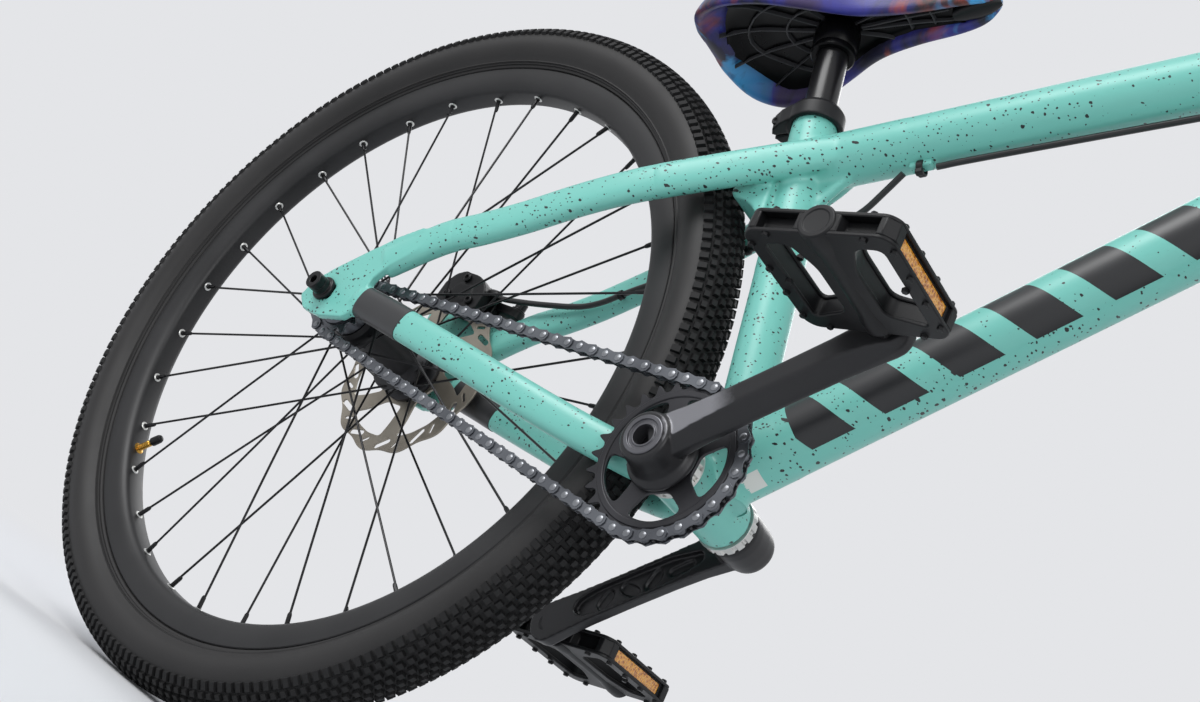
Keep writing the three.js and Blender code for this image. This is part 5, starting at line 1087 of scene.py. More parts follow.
def make_cranks():
    """Spindle, both forged arms, their caps, the pedal axles and the bottom bracket's cups."""
    formed(turned, ([(-79, 8), (-79, 12), (79, 12), (79, 8)], BRACKET, LEFT, 40, True),
           "crank_spindle_tube", ANODISED, "crankset", ["crank_spindle"])
    turns = [math.radians(a) for a in range(0, 91, 15)]
    ends = [(172 + 13.6 * math.sin(a), 15.0 * max(math.cos(a), 0.12)) for a in turns]
    arm = [(2, 15.5, -8.5, 9, 0.8), (16, 14.5, -8.2, 8.6, 0.75), (34, 13.2, -7.6, 7.8, 0.66),
           (60, 12.8, -7, 7, 0.58), (100, 12.8, -6.6, 6.6, 0.56), (135, 13.2, -6.4, 6.4, 0.6),
           (155, 14.2, -6.4, 6.4, 0.7)]
    eye = [(along, half, -6.4, 6.4, 0.86) for along, half in ends]

    bm = bmesh.new()
    crank_loops(bm, -1, arm + eye)
    turned(bm, [(-53, 12.5), (-53, 25.5), (-54.5, 26.5), (-57, 25.5), (-60, 22), (-66, 20.2),
                (-76, 19), (-80, 18.2), (-81.3, 16.8), (-81.3, 12.5)], BRACKET, LEFT, 64,
           closed=True)
    fused("crank_arm_right_forging", bm, CRANK, "crankset", ["crank_arm_right"], voxel=0.9,
          rounds=4)

    bm = bmesh.new()
    crank_loops(bm, 1, [(a, h, 0.4, o, r) for a, h, _, o, r in arm + eye])
    outline = [(a, h) for a, h, *_ in arm + eye] + [(a, -h) for a, h, *_ in (arm + eye)[::-1]]
    pocket = rounded([(30, 4), (58, 9.4), (122, 9.8), (140, 7), (146, 0), (140, -7), (122, -9.8),
                      (58, -9.4), (30, -4)], 6)
    plate(bm, outline, [pocket], crank_place(1, 0, -3.2), 7.6)
    floor = [capsule((44, 0.6), (60, 0), 3.4), capsule((72, 3.4), (80, -3.4), 4.4),
             capsule((93, -3.2), (101, 3.2), 4.6), capsule((115, 3.2), (123, -2.6), 4.4)]
    plate(bm, pocket, floor, crank_place(1, 0, -0.2), 3.4)
    turned(bm, [(46.5, 12.5), (46.5, 18.6), (49, 20.0), (56, 20.2), (68, 19.4), (77, 18.4),
                (80.5, 17.4), (81.3, 16.4), (81.3, 12.5)], BRACKET, LEFT, 64, closed=True)
    fused("crank_arm_left_forging", bm, CRANK, "crankset", ["crank_arm_left"], voxel=0.9, rounds=3)

    for side, name in SIDES:
        formed(turned, ([(80.6, 12.2), (80.6, 14.4), (82.0, 14.4), (82.5, 13.8), (82.5, 11.4),
                         (81.0, 11.0), (81.0, 8.9), (81.9, 8.6), (81.9, 7.5), (80, 7.4), (70, 7.4)],
                        BRACKET, LEFT * side, 64), f"preload_ring_{name}", MACHINED, "crankset",
               bevel=0.25)
        formed(turned, ([(0, 0), (0, 7.9), (0.4, 7.9)], BRACKET + LEFT * side * 70, LEFT * side,
                        40), f"spindle_plug_{name}", PLASTIC, "crankset")
        bm = bmesh.new()
        eye_middle = eye_spot(side)
        turned(bm, [(84.6, 0), (84.6, 4), (82.3, 4.2), (82.3, 6.7), (82.9, 7.2), (84, 7.2),
                    (86, 4.9), (101.5, 4.9)], eye_middle, LEFT * side, 32)
        turned(bm, [(95.85, 5), (95.85, 8.6), (96.3, 9.0), (100.4, 9.0), (100.85, 8.6),
                    (100.85, 5)], eye_middle, LEFT * side, 6, closed=True)
        turned(bm, [(100.85, 4.9), (120, 4.9), (174.5, 4.4), (174.8, 0)], eye_middle, LEFT * side,
               24)
        piece(f"pedal_axle_{name}_turned", bm, OXIDE, "crankset", [f"pedal_axle_{name}"], bevel=0.2)

    for side, name in SIDES:
        bm = bmesh.new()
        place = framed(BRACKET + LEFT * side * 40.6, LEFT * side)
        notched = []
        for i in range(16):
            for share, radius in ((0.0, 21.5), (0.3, 21.5), (0.55, 21.5), (0.66, 20.0),
                    (0.86, 20.0), (0.98, 21.5)):
                notched.append(polar(radius, TURN * (i + share) / 16))
        plate(bm, notched, [circle(12.8, 48)], place, 7.4)
        turned(bm, [(36.6, 13), (36.6, 21.6), (37.6, 21.8), (38.4, 21.2), (38.4, 13)], BRACKET,
               LEFT * side, 64, closed=True)
        piece(f"bracket_cup_{name}_shell", bm, CUP, "frame", [f"bottom_bracket_cup_{name}"],
              bevel=0.3)


def make_pedal(side, name):
    """A moulded platform: two plates with windows, a core, a barrel, hex pins and reflectors."""
    axle_face, half_width = 101.2, 49
    middle = eye_spot(side) + LEFT * side * (axle_face + half_width)
    tilt = math.radians(10.5)
    x, z = facing(tilt), Vector((-math.sin(tilt), 0, math.cos(tilt)))
    base = placing(x, LEFT, z, middle)
    body = f"pedal_{name}_body"
    bm = bmesh.new()

    def window(end, grow):
        return rounded([(end * (12.6 - grow), -29 * side - grow * side), (end * (38 + grow),
            -38 * side - grow * side), (end * (38 + grow), 36 * side + grow * side),
            (end * (21 - grow), 36 * side + grow * side), (end * (12.6 - grow), 14 * side)], 6)

    def lifted(height):
        return base @ Matrix.Translation((0, 0, height))

    corners = [(-48, -43), (-42, -49), (42, -49), (48, -43), (48, 43), (42, 49), (-42, 49),
               (-48, 43)]
    rim = rounded(corners, 6)
    for height in (-6.6, 6.6):
        plate(bm, rim, [window(-1, 0), window(1, 0)], lifted(height), 2.6)
    # The core follows the rim, but steps back behind each reflector and along each end.
    quarter = [(48, 36), (48, 43), (42, 49), (38, 49), (37, 42.6), (16, 42.6), (13.5, 49)]
    stepped = [(40.4, -35), (40.4, 35)] + quarter + [(-x, y) for x, y in quarter[::-1]] + [(-40.4,
        35), (-40.4, -35)]
    stepped += [(-x, -y) for x, y in quarter] + [(x, -y) for x, y in quarter[::-1]]
    plate(bm, stepped, [window(-1, 1.2), window(1, 1.2)], lifted(0), 11.2)
    piece(f"pedal_{name}_platform", bm, PLASTIC, body, [f"pedal_{name}"], bevel=0.7, angle=40)
    formed(turned, ([(-48.6, 5.6), (-48.6, 10), (-47.8, 10.9), (-38, 10.9), (-30, 9.6), (24, 9.2),
                     (34, 10.6), (42, 11.4), (49.2, 11.4), (50.0, 10.6), (50.0, 8.2), (49.5, 7.8),
                     (49.3, 0)], middle, LEFT * side, 40), f"pedal_{name}_barrel", PLASTIC, body,
           bevel=0.3)
    bm = bmesh.new()
    spots = [(along, out) for along in (-45.3, 45.3) for out in (-36, -12, 12, 36)]
    spots += [(along, out) for along in (-31, 31) for out in (-46, 46)] + [(-37.6, 0), (37.6, 0)]
    for spot in spots:
        for top in (-1, 1):
            foot = base @ Vector((*spot, top * 7.4))
            turned(bm, [(0, 0), (0, 2.5), (2.3, 2.2), (2.5, 1.9), (2.5, 0)], foot, z * top, 6)
    piece(f"pedal_{name}_pins", bm, PLASTIC, body)
    bm = bmesh.new()
    for end in (-1, 1):
        box(bm, base @ Matrix.Translation((end * 43.5, 0, 0)), 3.2, 66, 9.2)
    piece(f"pedal_{name}_reflectors", bm, AMBER, body, bevel=0.5)
    bm = bmesh.new()
    for end in (-1, 1):
        plate(bm, rounded([(-35.5, -5.6), (35.5, -5.6), (35.5, 5.6), (-35.5, 5.6)], 1.5),
              [rounded([(-32.4, -4.2), (32.4, -4.2), (32.4, 4.2), (-32.4, 4.2)], 1)],
              base @ Matrix.Translation((end * 44.9, 0, 0)) @ Matrix(((0, 0, 1, 0), (1, 0, 0, 0),
            (0, 1, 0, 0), (0, 0, 0, 1))), 1.6)
    piece(f"pedal_{name}_reflector_frames", bm, PLASTIC, body, bevel=0.2)


make_chain()
make_toothed_wheels()
make_cranks()
make_pedal(-1, "right")
make_pedal(1, "left")

# Rear axle bolts, brake and hoses.


def make_axle_bolts():
    """The rear axle and its two socket bolts outside the dropouts."""
    bm = bmesh.new()
    for side in (-1, 1):
        face = REAR + LEFT * side * 74.85
        turned(bm, [(0, 5.2), (0, 10.5), (2.6, 10.5), (3.5, 9.4), (3.6, 8.0), (8.2, 7.6), (8.2, 3)],
               face, LEFT * side, 48)
        plate(bm, circle(7.7, 44), [circle(3.7, 6)], framed(face + LEFT * side * 11.6, LEFT * side),
              7.0)
    turned(bm, [(-75, 5), (75, 5)], REAR, LEFT, 32)
    piece("rear_axle_and_bolts", bm, OXIDE, "frame", ["rear_axle"], bevel=0.5)


def make_brake():
    """A two-piece caliper with bolts, a banjo for the hose and the backing plates of its pads."""
    centre = Vector((-531.4, 52, 417.7))
    bm = bmesh.new()
    body = rounded([(-26, -15.5), (-22, -17), (20, -17), (26, -13), (26, 4), (18, 13), (8, 17),
                    (-12, 17), (-20, 12), (-26, 2)], 2.4)
    for out in (-9.2, 9.2):
        plate(bm, body, [], side_plane(centre + LEFT * out), 10.4)
    arch = rounded([(-17, 4), (16, 4), (14, 13), (6, 16.5), (-10, 16.5), (-17, 11)], 4)
    plate(bm, arch, [], side_plane(centre), 14)
    for x in (-9, 9):
        turned(bm, [(-15, 0), (-15, 8.4), (-12.6, 9.6), (12.6, 9.6), (15, 8.4), (15, 0)],
               centre + Vector((x * 0.4, 0, -3)), LEFT, 32)
    fused("brake_caliper_body", bm, PLASTIC, "frame", ["brake_caliper"], voxel=0.9, rounds=2)
    bm = bmesh.new()
    for end in (-1, 1):
        spot = Vector((centre.x + end * 44.7, 65, 416.4))
        plate(bm, capsule((0, 0), (-end * 30, 0), 7.2, 8), [], framed(spot + UP * 5, UP, LEFT), 8)
    piece("brake_caliper_ears", bm, PLASTIC, "frame", bevel=0.8)
    bm = bmesh.new()
    for end in (-1, 1):
        spot = Vector((centre.x + end * 44.7, 65, 425.2))
        turned(bm, [(0, 0), (0, 6.6), (1.4, 6.6), (1.9, 5.2), (8.6, 5.0), (9.3, 4.3), (9.3, 0)],
               spot, UP, 24)
    for x, z in ((-14, -9), (15, -8), (-3, 11)):
        turned(bm, [(14.6, 0), (14.6, 4.2), (16.6, 4.0), (17.2, 3.2), (17.2, 2.0), (15.6, 1.9),
                    (15.6, 0)], centre + Vector((x, 0, z)), -LEFT, 20)
    turned(bm, [(-3, 0), (-3, 4.6), (0, 5.2), (7, 5.2), (9, 4.4), (9, 2.6)],
           Vector((-509, 49.5, 426.2)), Vector((1, 0, 0)), 24)
    turned(bm, [(0, 0), (0, 3.6), (6, 3.4), (7.4, 2.6), (7.4, 0)], centre + Vector((-20, -2, 14)),
           Vector((-0.5, 0, 1)), 20)
    piece("brake_caliper_bolts", bm, OXIDE, "frame", bevel=0.2)
    for name, out in (("inner", -1), ("outer", 1)):
        bm = bmesh.new()
        spot = Vector((centre.x, 52 + out * 3.1, 408.2))
        plate(bm, rounded([(-12, -7.5), (12, -7.5), (12, 4), (7, 7.5), (-7, 7.5), (-12, 4)], 2), [],
              side_plane(spot), 3.3)
        piece(f"brake_pad_{name}_backing", bm, ROTOR, f"pad_{name}_body", [f"brake_pad_{name}"],
              bevel=0.3)


REAR_HOSE = [(-157, 0, 599.7), (-167.5, 5.8, 584.4), (-178.5, 11.5, 569.8), (-192.5, 16.6, 559.8),
             (-209.2, 21.3, 554.1), (-226.5, 25.2, 547.7), (-244.4, 28, 538.7), (-262.3, 30, 528.7),
             (-278.5, 31.7, 518.3), (-293.7, 33, 507.3), (-310.8, 35.1, 496.1), (-333.1, 38.7,
    484.1), (-355.4, 42.6, 472.3), (-372.5, 45.2, 461.7), (-387.8, 47.3, 451.5), (-403.2, 48.6,
    444), (-418.4, 48.9, 439.3), (-434.6, 49, 435.7), (-457.5, 49.2, 431.2), (-481.8, 49.4, 427.4),
    (-495, 49.5, 426), (-505.1, 49.5, 426.2)]
FRONT_HOSE = [(303.2, -181.2, 983.9), (306.1, -166.5, 982.6), (308.7, -151.7, 981.8),
              (312.3, -137.1, 978.7), (320, -119.6, 967.9), (335.1, -100.2, 944.2), (350.6, -80.6,
    916.7), (360, -59, 894), (361.7, -36.1, 881.3), (359.7, -11, 871.5), (353.4, 10.9, 862.2),
    (342.8, 24.4, 852.1), (328.1, 31.6, 841.7), (310.4, 35.4, 831.5), (291.7, 37.2, 822),
    (268.7, 36, 813.2), (243.6, 31.2, 805.8), (217.8, 25.6, 797.3), (190.9, 21.1, 784.7),
    (163.5, 16.4, 768.2), (134.9, 11.9, 749.6), (102.4, 8.1, 730.3), (39.5, 4.3, 697.4),
    (-33.9, 1.8, 660.8), (-95.6, 0.4, 630.5), (-119.1, -0.1, 618.8), (-125.1, -0.1, 615.8),
    (-129.8, 0, 613.4), (-134.8, 0, 610.9)]


def make_hoses():
    """The hose fixed to the frame, the free one to the bar, their guide and their ties."""
    formed(tube, (smooth_line(REAR_HOSE, 4), 2.5, 12), "rear_brake_hose", HOSE, "frame",
           ["brake_hose_rear"])
    bm = bmesh.new()
    line = smooth_line(FRONT_HOSE, 4)
    tube(bm, line, 2.5, 12)
    hose = piece("front_brake_hose", bm, HOSE, None, ["brake_hose_front"])
    # The hose bends where it passes round the front of the head tube, marked by its drop in height.
    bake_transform(hose)
    bm = bmesh.new()
    heading = (TOP_END - TOP_START).normalized()
    down = Vector((heading.z, 0, -heading.x))
    spot = TOP_START.lerp(TOP_END, 0.156)
    place = placing(heading, LEFT, heading.cross(LEFT), spot + down * 24.6)
    box(bm, place @ Matrix.Translation((0, 0, 3)), 17, 8.6, 5)
    piece("hose_guide_tab", bm, PAINT, "frame", bevel=1.2)
    bm = bmesh.new()
    turned(bm, [(-2.6, 4.4), (-2.6, 6.3), (2.6, 6.3), (2.6, 4.4)], place @ Vector((0, 0, 0.6)),
           heading, 24, closed=True)
    box(bm, place @ Matrix.Translation((0, -3.6, -5.2)), 5.6, 5, 4.2)
    piece("hose_guide_clip", bm, PLASTIC, "frame", ["hose_guide"], bevel=0.8)
    bm = bmesh.new()
    line = smooth_line(REAR_HOSE, 4)
    for index in (30, 52):
        spot, ahead = line[index], line[index + 1] - line[index]
        turned(bm, [(-2.2, 2.4), (-2.2, 3.9), (2.2, 3.9), (2.2, 2.4)], spot, ahead, 20, closed=True)
    piece("hose_ties", bm, PLASTIC, "frame", bevel=0.3)


make_axle_bolts()
make_brake()
make_hoses()

# Seat post, clamp and saddle.
SADDLE_SHARES = [0, 0.05, 0.12, 0.22, 0.35, 0.48, 0.6, 0.74, 0.88, 0.96, 1]
SADDLE_HALF = [0.34, 0.7, 0.9, 1, 0.93, 0.68, 0.44, 0.32, 0.27, 0.21, 0.1]
SADDLE_CROWN = [0.05, 0.42, 0.6, 0.62, 0.5, 0.42, 0.4, 0.42, 0.42, 0.32, 0.05]
SADDLE_SKIRT = [0.2, 0.42, 0.6, 0.75, 0.8, 0.72, 0.62, 0.55, 0.5, 0.4, 0.2]
SADDLE_HOLLOW = [0, 0.35, 0.9, 1, 1, 1, 1, 1, 0.8, 0.3, 0]
SADDLE_TAIL, SADDLE_LENGTH, SADDLE_HALF_WIDTH = -404, 235, 66
SADDLE_BASE, SADDLE_RISE = 683, 83
SEAM_SHARE = 0.155
COVER_DEPTH, SHELL_DEPTH, RIB_DEPTH = 12, 12.6, 16


def saddle_sizes(share):
    """Half width, low edge, crown and hollow at a share of the saddle's length."""
    found = []
    for values in (SADDLE_HALF, SADDLE_CROWN, SADDLE_SKIRT, SADDLE_HOLLOW):
        for i in range(len(SADDLE_SHARES) - 1):
            if SADDLE_SHARES[i] <= share <= SADDLE_SHARES[i + 1]:
                t = (share - SADDLE_SHARES[i]) / (SADDLE_SHARES[i + 1] - SADDLE_SHARES[i])
                value = values[i] * (1 - t) + values[i + 1] * t
        found.append(value)
    half, crown, skirt, hollow = found
    base = SADDLE_BASE + SADDLE_RISE * share
    return half * SADDLE_HALF_WIDTH, base - 26 * skirt, base + 24 * crown, hollow


def saddle_roof(share, y, below):
    """Height of the hollow's roof inside the saddle, less a gap."""
    half, low, high, hollow = saddle_sizes(share)
    lean = min(abs(y) / max(half - 4, 1), 1) ** (1 / 0.6)
    top = low + (high - low) * max(1 - lean * lean, 0) ** 0.275
    return low + (top - low) * hollow - below * hollow


def saddle_x(share):
    """A share of the saddle's length as a place along the bike."""
    return SADDLE_TAIL + SADDLE_LENGTH * share


def saddle_point(share, y, below):
    """A spot under the hollow's roof."""
    return Vector((saddle_x(share), y, saddle_roof(share, y, below)))


def saddle_edge(half, low, high, a):
    """A spot on the cover's outline, across and up, by its angle from the top."""
    y = half * math.copysign(abs(math.sin(a)) ** 0.6, a)
    return y, low + (high - low) * abs(math.cos(a)) ** 0.55


def saddle_lip(half):
    """How far the cover wraps in under its edge."""
    return min(11, half * 0.5)


def make_saddle():
    """Padded cover that wraps under its edge, over a ribbed shell that grips the post."""
    stations = []
    for share in SADDLE_SHARES:
        half, low, high, hollow = saddle_sizes(share)
        x, lip = saddle_x(share), saddle_lip(half)
        ring_points = [(x, *saddle_edge(half, low, high, math.pi * (k / 24 - 0.5)))
                       for k in range(25)]
        under = [(half - 1.5, low - 2.2 * hollow), (half - lip * 0.5, low - 2.6 * hollow),
                 (half - lip, low + 1.5 * hollow)]
        for share_in in (0.96, 0.8, 0.55, 0.28):
            y = (half - lip) * share_in
            under.append((y, max(saddle_roof(share, y, COVER_DEPTH), low + 0.5)))
        ring_points += [(x, y, z) for y, z in under] + [(x, 0,
            max(saddle_roof(share, 0, COVER_DEPTH), low + 0.5))]
        ring_points += [(x, -y, z) for y, z in under[::-1]]
        stations.append(ring_points)
    lines = [smooth_line([station[k] for station in stations], 4) for k in range(len(stations[0]))]
    bm = bmesh.new()
    rings = []
    for j in range(len(lines[0])):
        rings.append(closed_loop(bm, [line[j] for line in lines]))
    skin(bm, rings)
    pad = piece("saddle_cover_and_foam", bm, COVER, "seat", ["saddle_pad"], angle=70, merge=0.01,
                subdivide=1)

    bm = bmesh.new()
    half, low, high, _ = saddle_sizes(SEAM_SHARE)
    for side in (-1, 1):
        for k in range(26):
            spots = []
            for step in (-0.016, 0, 0.016):
                y, z = saddle_edge(half, low, high, math.pi / 2 * (0.1 + 0.86 * k / 25) * side
                    + step)
                spots.append(Vector((saddle_x(SEAM_SHARE), y * 1.004, z + 0.25)))
            tube(bm, spots, [0.25, 0.5, 0.25], 6)
    piece("saddle_seam_stitches", bm, THREAD, "seat")

    # Moulded shell: a thin skin under the foam with a rolled edge, and the boss round the post.
    bm = bmesh.new()
    rings = []
    for k in range(33):
        share = 0.092 + 0.808 * k / 32
        half = saddle_sizes(share)[0]
        width = max(half - saddle_lip(half) - 0.6, 4)
        width *= math.sqrt(1 - (max(0.24 - share, 0) / 0.15) ** 2) if share < 0.24 else 1
        top = [(y, saddle_roof(share, y, SHELL_DEPTH)) for y in [width * (i / 10 - 1)
            for i in range(21)]]
        outline = top + [(y, z - 2.4 - 2.2 * (abs(y) / width) ** 8) for y, z in top[::-1]]
        rings.append(closed_loop(bm, [(saddle_x(share), y, z) for y, z in outline]))
    skin(bm, rings)
    post_top = seat(420.5)
    turned(bm, [(-25, 12.95), (-25, 16.6), (-24, 17.6), (-20, 17.9), (-18.6, 17.2), (-18, 16.6),
                (-16, 17.6), (-8, 18.4), (-1, 18.2), (5, 16.8), (10, 14), (12, 12.95)], post_top,
           SEAT_UP, 48, closed=True)
    piece("saddle_shell_skin", bm, SHELL, "seat", ["saddle_shell"], merge=0.01)

    # Thin ribs that fan out from the boss, tied by rounded arcs behind it.
    bm = bmesh.new()
    middle = (post_top.x - SADDLE_TAIL) / SADDLE_LENGTH
    for share, y in ((0.08, -17), (0.07, 19), (0.17, -48), (0.17, 48), (0.38, -50), (0.38, 50),
                     (0.66, -15), (0.66, 15), (0.86, -5.5), (0.86, 5.5)):
        line = [saddle_point(middle + (share - middle) * t, y * t, RIB_DEPTH)
                for t in (0.2, 0.36, 0.52, 0.68, 0.84, 1.0)]
        tube(bm, line, (0.75, 2.6), 8, 0.6, UP)
    for reach, wide in ((0.19, 30), (0.33, 45)):
        line = []
        for k in range(15):
            a = math.pi * (0.58 + 0.84 * k / 14)
            line.append(saddle_point(middle + reach * math.cos(a), wide * math.sin(a), RIB_DEPTH))
        tube(bm, line, (0.75, 2.4), 8, 0.6, UP)
    for share, wide in ((0.72, 9), (0.8, 7)):
        tube(bm, [saddle_point(share, y, RIB_DEPTH) for y in (-wide, 0, wide)], (0.75, 2.2), 8, 0.6,
             UP)
    # The ribs take the paler rib colour: a painted highlight.
    piece("saddle_shell_ribs", bm, RIB, "seat")

    # Black bumper let into the cover under the nose.
    bm = bmesh.new()
    line, halves = [], []
    for share, wide in ((0.87, 4), (0.9, 7), (0.94, 8), (0.97, 7.4), (0.99, 5.5), (1.0, 3)):
        line.append(Vector((saddle_x(share), 0, saddle_sizes(share)[1] + 4.5)))
        halves.append((wide, 5.6))
    tube(bm, line, halves, 24, 0.8, UP)
    piece("saddle_nose_bumper", bm, PLASTIC, "seat")

    formed(turned, ([(241, 11.2), (241, 12.7), (420.5, 12.7), (420.5, 11.2)], SEAT_FOOT, SEAT_UP,
                    48, True), "seat_post_tube", POST, "seat", ["seat_post"])

    bm = bmesh.new()
    turned(bm, [(321.6, 17.7), (321.6, 21.2), (322.4, 21.9), (334.5, 21.9), (338.8, 19.2),
                (338.8, 13.6), (337, 13.6), (336.9, 17.7)], SEAT_FOOT, SEAT_UP, 64, closed=True)
    lug = seat(329.6)
    place = placing(SEAT_AHEAD, LEFT, SEAT_UP, lug)
    for side in (-1, 1):
        wedge = [(-17, side * 0.8), (-34, side * 0.8), (-35, side * 3), (-32.5, side * 8),
                 (-24, side * 13.5), (-12, side * 17.8)]
        plate(bm, wedge, [], place, 14.5)
    fused("seat_clamp_ring", bm, PLASTIC, "frame", ["seat_clamp"], voxel=0.8, rounds=2)
    formed(turned, ([(-9.4, 0), (-9.4, 1.6), (-10.6, 1.8), (-10.6, 3.4), (-9.8, 3.9), (-6, 4.1),
                     (-6, 2.4), (6, 2.4), (6, 4.1), (9.8, 3.9), (10.6, 3.2), (10.6, 0)],
                    lug - SEAT_AHEAD * 29.5, LEFT, 24), "seat_clamp_bolt", OXIDE, "frame",
           bevel=0.2)


make_saddle()

# Headset, stem, bar and brake lever.


GRIP_SHARE = 0.3189
BAR_RISE, BAR_SWEEP, BAR_HALF, BAR_STEPS = 55, 42, 380, 6


def make_steering():
    """Headset, stem, bar with its grips, and the brake master with its lever."""
    formed(turned, ([(463.4, 15), (463.4, 23.6), (464.2, 24.8), (468, 25), (472.2, 24.6),
                     (473.6, 23.8), (473.6, 17.1), (482, 17.1), (482, 15)], STEER_FOOT, STEER_UP,
                    64, True), "lower_bearing_cup", ANODISED, "frame", ["headset_cup_lower"])
    formed(turned, ([(590, 15), (590, 17.1), (598.4, 17.1), (598.4, 24.4), (599.2, 25), (602, 25),
                     (604, 24), (608.6, 19.6), (609.6, 18.9), (609.6, 15)], STEER_FOOT, STEER_UP,
                    64, True), "upper_bearing_cup", ANODISED, "frame", ["headset_cup_upper"])
    formed(turned, ([(610.2, 14.7), (610.2, 18.4), (610.8, 19), (619, 19), (619.6, 18.4),
                     (619.6, 14.7)], STEER_FOOT, STEER_UP, 64, True), "steerer_spacer", ANODISED,
           "steering", ["headset_spacer"])

    centre = steer(640, 45)
    bm = bmesh.new()
    turned(bm, [(620.2, 14.7), (620.2, 18.2), (621, 19), (659, 19), (659.8, 18.2), (659.8, 14.7)],
           STEER_FOOT, STEER_UP, 48, closed=True)
    tube(bm, [steer(640, 8), steer(640, 20), steer(640, 32), steer(640, 42)],
         [(14, 17.5), (13.4, 15.6), (15.6, 16.4), (18, 17)], 32, 0.7, STEER_UP)
    turned(bm, [(-23, 16.4), (-23, 21), (-22, 22), (22, 22), (23, 21), (23, 16.4)], centre, LEFT,
           48, closed=True)
    fused("stem_forging", bm, ANODISED, "steering", ["stem"], voxel=1.1, rounds=5)
    bm = bmesh.new()
    for side in (-1, 1):
        for lift in (-1, 1):
            spot = centre + STEER_AHEAD * 17 + LEFT * side * 15 + STEER_UP * lift * 16
            turned(bm, [(0, 0), (0, 4.4), (4.6, 4.2), (5.2, 3.4), (5.2, 2.1), (3.4, 2), (3.4, 0)],
                   spot, STEER_AHEAD, 20)
        spot = steer(640 + side * 9, -19, 0)
        turned(bm, [(-9, 0), (-9, 4.2), (9, 4.2), (9, 2.2), (7, 2), (7, 0)], spot, LEFT, 20)
    piece("stem_bolts", bm, OXIDE, "steering", bevel=0.2)
    formed(turned, ([(660.3, 0), (660.3, 19), (661.6, 19), (664.9, 16.6), (665, 5.6), (662.6, 5.2),
                     (662.6, 0)], STEER_FOOT, STEER_UP, 48), "stem_cap", ANODISED, "steering",
           ["stem_top_cap"], bevel=0.3)

    spans, rises = [0, 0.09, 0.15, 0.24, 0.49, 1], [0, 0, 0.04, 0.2, 0.9, 1.1]
    sweeps, thick = [0, 0, 0.02, 0.06, 0.3, 1], [1, 1, 0.25, 0, 0, 0]

    def bar_spot(index, side):
        return (centre + STEER_UP * BAR_RISE * rises[index]
                - STEER_AHEAD * BAR_SWEEP * sweeps[index] + LEFT * side * BAR_HALF * spans[index])

    spots = [bar_spot(i, -1) for i in range(5, 0, -1)] + [bar_spot(i, 1) for i in range(1, 6)]
    shares = [thick[i] for i in range(5, 0, -1)] + [thick[i] for i in range(1, 6)]
    line = smooth_line(spots, BAR_STEPS)
    thin, swell = 11.1, 4.8
    radii = []
    for k in range(len(line)):
        low = min(k // BAR_STEPS, len(shares) - 2)
        radii.append(thin + swell * (shares[low] + (shares[low + 1] - shares[low]) * (k / BAR_STEPS
            - low)))
    bm = bmesh.new()
    tube(bm, line, radii, 32, up=STEER_UP)
    piece("riser_bar", bm, ANODISED, "steering", ["handlebar"])
    for side, name in SIDES:
        inner, outer = bar_spot(4, side), bar_spot(5, side)
        start = inner.lerp(outer, GRIP_SHARE)
        heading = (outer - start).normalized()
        length = (outer - start).length
        profile = [(0, 11.4), (0, 20), (1, 21), (3.4, 21), (4.4, 19.6), (6.4, 15.8)]
        rib_step = 3.2
        for k in range(int((length - 14) // rib_step)):
            at = 8 + k * rib_step
            profile += [(at, 15.0), (at + 0.8, 15.5), (at + 2.2, 15.5), (at + 3.0, 15.0)]
        profile += [(length - 3, 15.7), (length + 1.5, 15.6), (length + 2.4, 14.6)]
        profile.append((length + 2.4, 0))
        formed(turned, (profile, start, heading, 36), f"grip_{name}_rubber", GRIP, "steering",
               [f"grip_{name}"], merge=0.01)

    inner, outer = bar_spot(4, -1), bar_spot(5, -1)
    heading = (outer - inner).normalized()
    start = inner.lerp(outer, GRIP_SHARE)
    lever_up = Vector((-0.35779, 0.05667, 0.93208))
    lever_ahead = Vector((0.92001, -0.14951, 0.36225))
    clamp = start - heading * 42
    spot = clamp + lever_ahead * (15.5 + 9 * 0.7)
    bm = bmesh.new()
    turned(bm, [(0, 11.6), (0, 14.9), (0.8, 15.5), (13.2, 15.5), (14, 14.9), (14, 11.6)], clamp,
           heading, 48, closed=True)
    turned(bm, [(-29, 0), (-29, 5), (-27, 7.6), (-20, 9), (16, 9), (22, 8.2), (23.4, 6.6),
                (23.4, 0)], spot, heading, 32)
    box(bm, framed(clamp + lever_ahead * 14 + heading * 5, heading, lever_up), 9, 16, 12)
    fused("brake_master_body", bm, PLASTIC, "steering", ["brake_master"], voxel=1.0, rounds=4)
    bm = bmesh.new()
    box(bm, framed(spot + lever_up * 8.4 - heading * 3, lever_up, heading), 11, 26, 2.6)
    for along in (-13, 7):
        turned(bm, [(9.4, 0), (9.4, 2.4), (10.6, 2.2), (10.8, 1.2), (10.2, 0)],
               spot + heading * along, lever_up, 14)
    piece("master_cover", bm, ANODISED, "steering", bevel=0.6)
    pivot = Vector((293.8713, -238.8214, 983.8092))
    bm = bmesh.new()
    route = [pivot - heading * 3.2, pivot + heading * 9 + lever_ahead * 12,
             pivot + heading * 23 + lever_ahead * 21, pivot + heading * 55.2 + lever_ahead * 22.4,
             pivot + heading * 80 + lever_ahead * 27, pivot + heading * 92 + lever_ahead * 29.9]
    line = smooth_line(route, 5)
    halves = [(3.4 + 0.5 * math.sin(k / 4), 5.4 - 1.2 * k / len(line)) for k in range(len(line))]
    tube(bm, line, halves, 20, 0.75, lever_up)
    piece("brake_lever_blade", bm, ANODISED, "lever", ["brake_lever"])


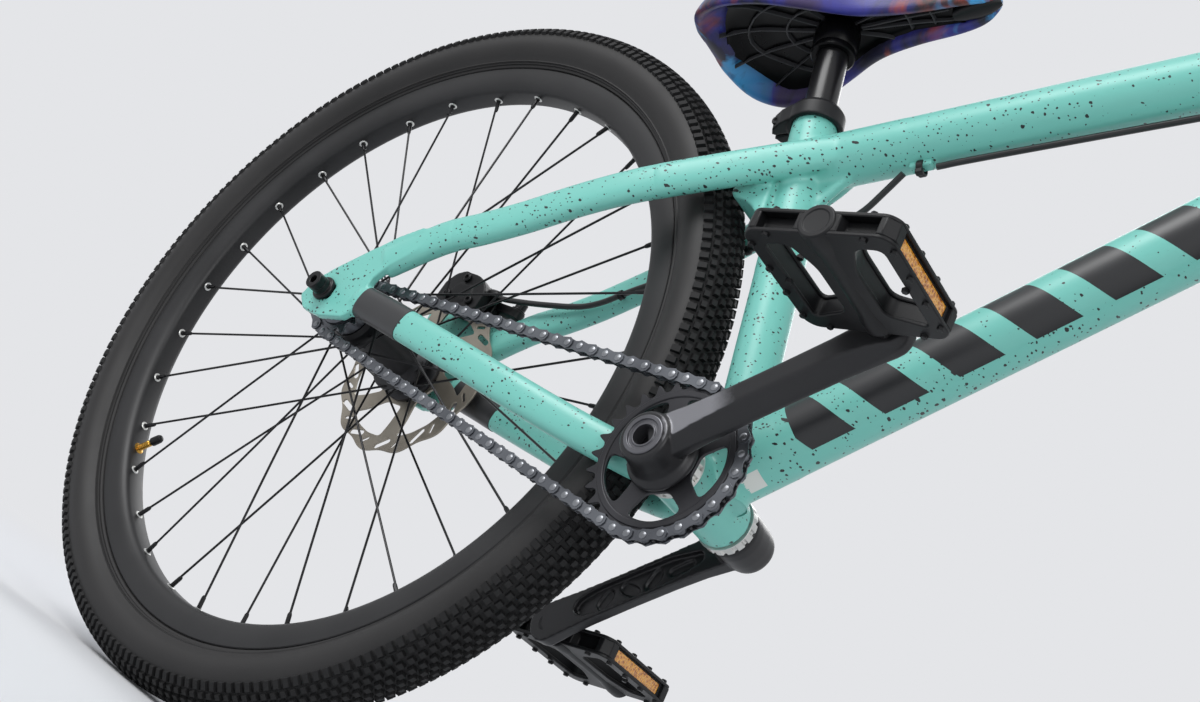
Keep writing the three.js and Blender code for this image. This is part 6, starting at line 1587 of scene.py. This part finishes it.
def make_fork():
    """Crown and steerer, stanchions, the cast lowers with their arch, seals and axle."""
    bm = bmesh.new()
    beam = []
    for left, tall, deep, lift in ((-80, 8, 16, 0), (-76, 16, 21, 0), (-59, 18.5, 22.5, 0),
            (-40, 14, 20, 2.5), (-20, 10, 19, 4), (0, 9, 19.4, 4.6), (20, 10, 19, 4),
            (40, 14, 20, 2.5), (59, 18.5, 22.5, 0), (76, 16, 21, 0), (80, 8, 16, 0)):
        place = framed(steer(443.2 + lift * 2.2, 0, left), LEFT, STEER_UP)
        beam.append(ring(bm, place, deep, tall, 32, 0.75))
    skin(bm, beam)
    turned(bm, [(446, 0), (446, 22), (462, 22), (462.6, 21), (462.6, 14.4), (659.2, 14.3),
                (659.2, 12.3), (466, 12.3), (466, 0)], STEER_FOOT, STEER_UP, 48)
    fused("fork_crown_forging", bm, FORK, "steering", ["fork_crown_and_stanchions"], voxel=1.5,
          rounds=6)
    for side, name in SIDES:
        formed(turned, ([(205, 13.5), (205, 16), (440, 16), (440, 13.5)],
                        steer(0, 0, LEG_OUT * side), STEER_UP, 48, True), f"stanchion_{name}",
               STANCHION, "steering")

    bm = bmesh.new()
    for side in (-1, 1):
        turned(bm, [(0, 0), (0, 17.5), (3, 20.5), (288, 20.5), (295, 19.5), (295.8, 18.6),
                    (295.8, 17.2), (86, 17.2), (86, 0)], steer(0, 0, LEG_OUT * side), STEER_UP, 48)
        shape = [steer(0, 59), steer(19, 40), steer(57, 10), steer(57, -10), steer(-9.5, -10),
                 steer(-19, 20), steer(-19, 40)]
        outline = rounded(side_outline(shape, STEER_FOOT), 12, 6)
        hole = circle(8.2, 24, ((steer(0, 40) - STEER_FOOT).x, (FRONT - STEER_FOOT).z))
        plate(bm, outline, [hole], side_plane(STEER_FOOT + LEFT * side * 56.5), 12.4)
    route = [steer(272, 10, -59), steer(300, 30, -54), steer(335, 33, -38), steer(352, 33, -18),
             steer(357, 33, 0), steer(352, 33, 18), steer(335, 33, 38), steer(300, 30, 54),
             steer(272, 10, 59)]
    line = smooth_line(route, 4)
    tube(bm, line, (5.5, 8.2), 20, 0.8, STEER_AHEAD.cross(LEFT))
    fused("fork_lowers_casting", bm, FORK, "lowers", ["fork_lowers"], voxel=1.5, rounds=4)
    bm = bmesh.new()
    for side in (-1, 1):
        turned(bm, [(294, 16.5), (294, 19.4), (295.5, 19.8), (297.2, 18.6), (298.2, 16.5)],
               steer(0, 0, LEG_OUT * side), STEER_UP, 48, closed=True)
    piece("fork_wiper_seals", bm, GRIP, "lowers")
    formed(turned, ([(-72.3, 0), (-72.3, 4.4), (-70.6, 4.4), (-70.6, 10), (-72.3, 11), (-71.4, 12),
                     (-64.4, 12), (-63.4, 11), (-63.4, 7.5), (63, 7.5), (63, 0)], FRONT, LEFT, 40),
           "front_axle_turned", OXIDE, "lowers", ["front_axle"], bevel=0.2)


make_steering()
make_fork()
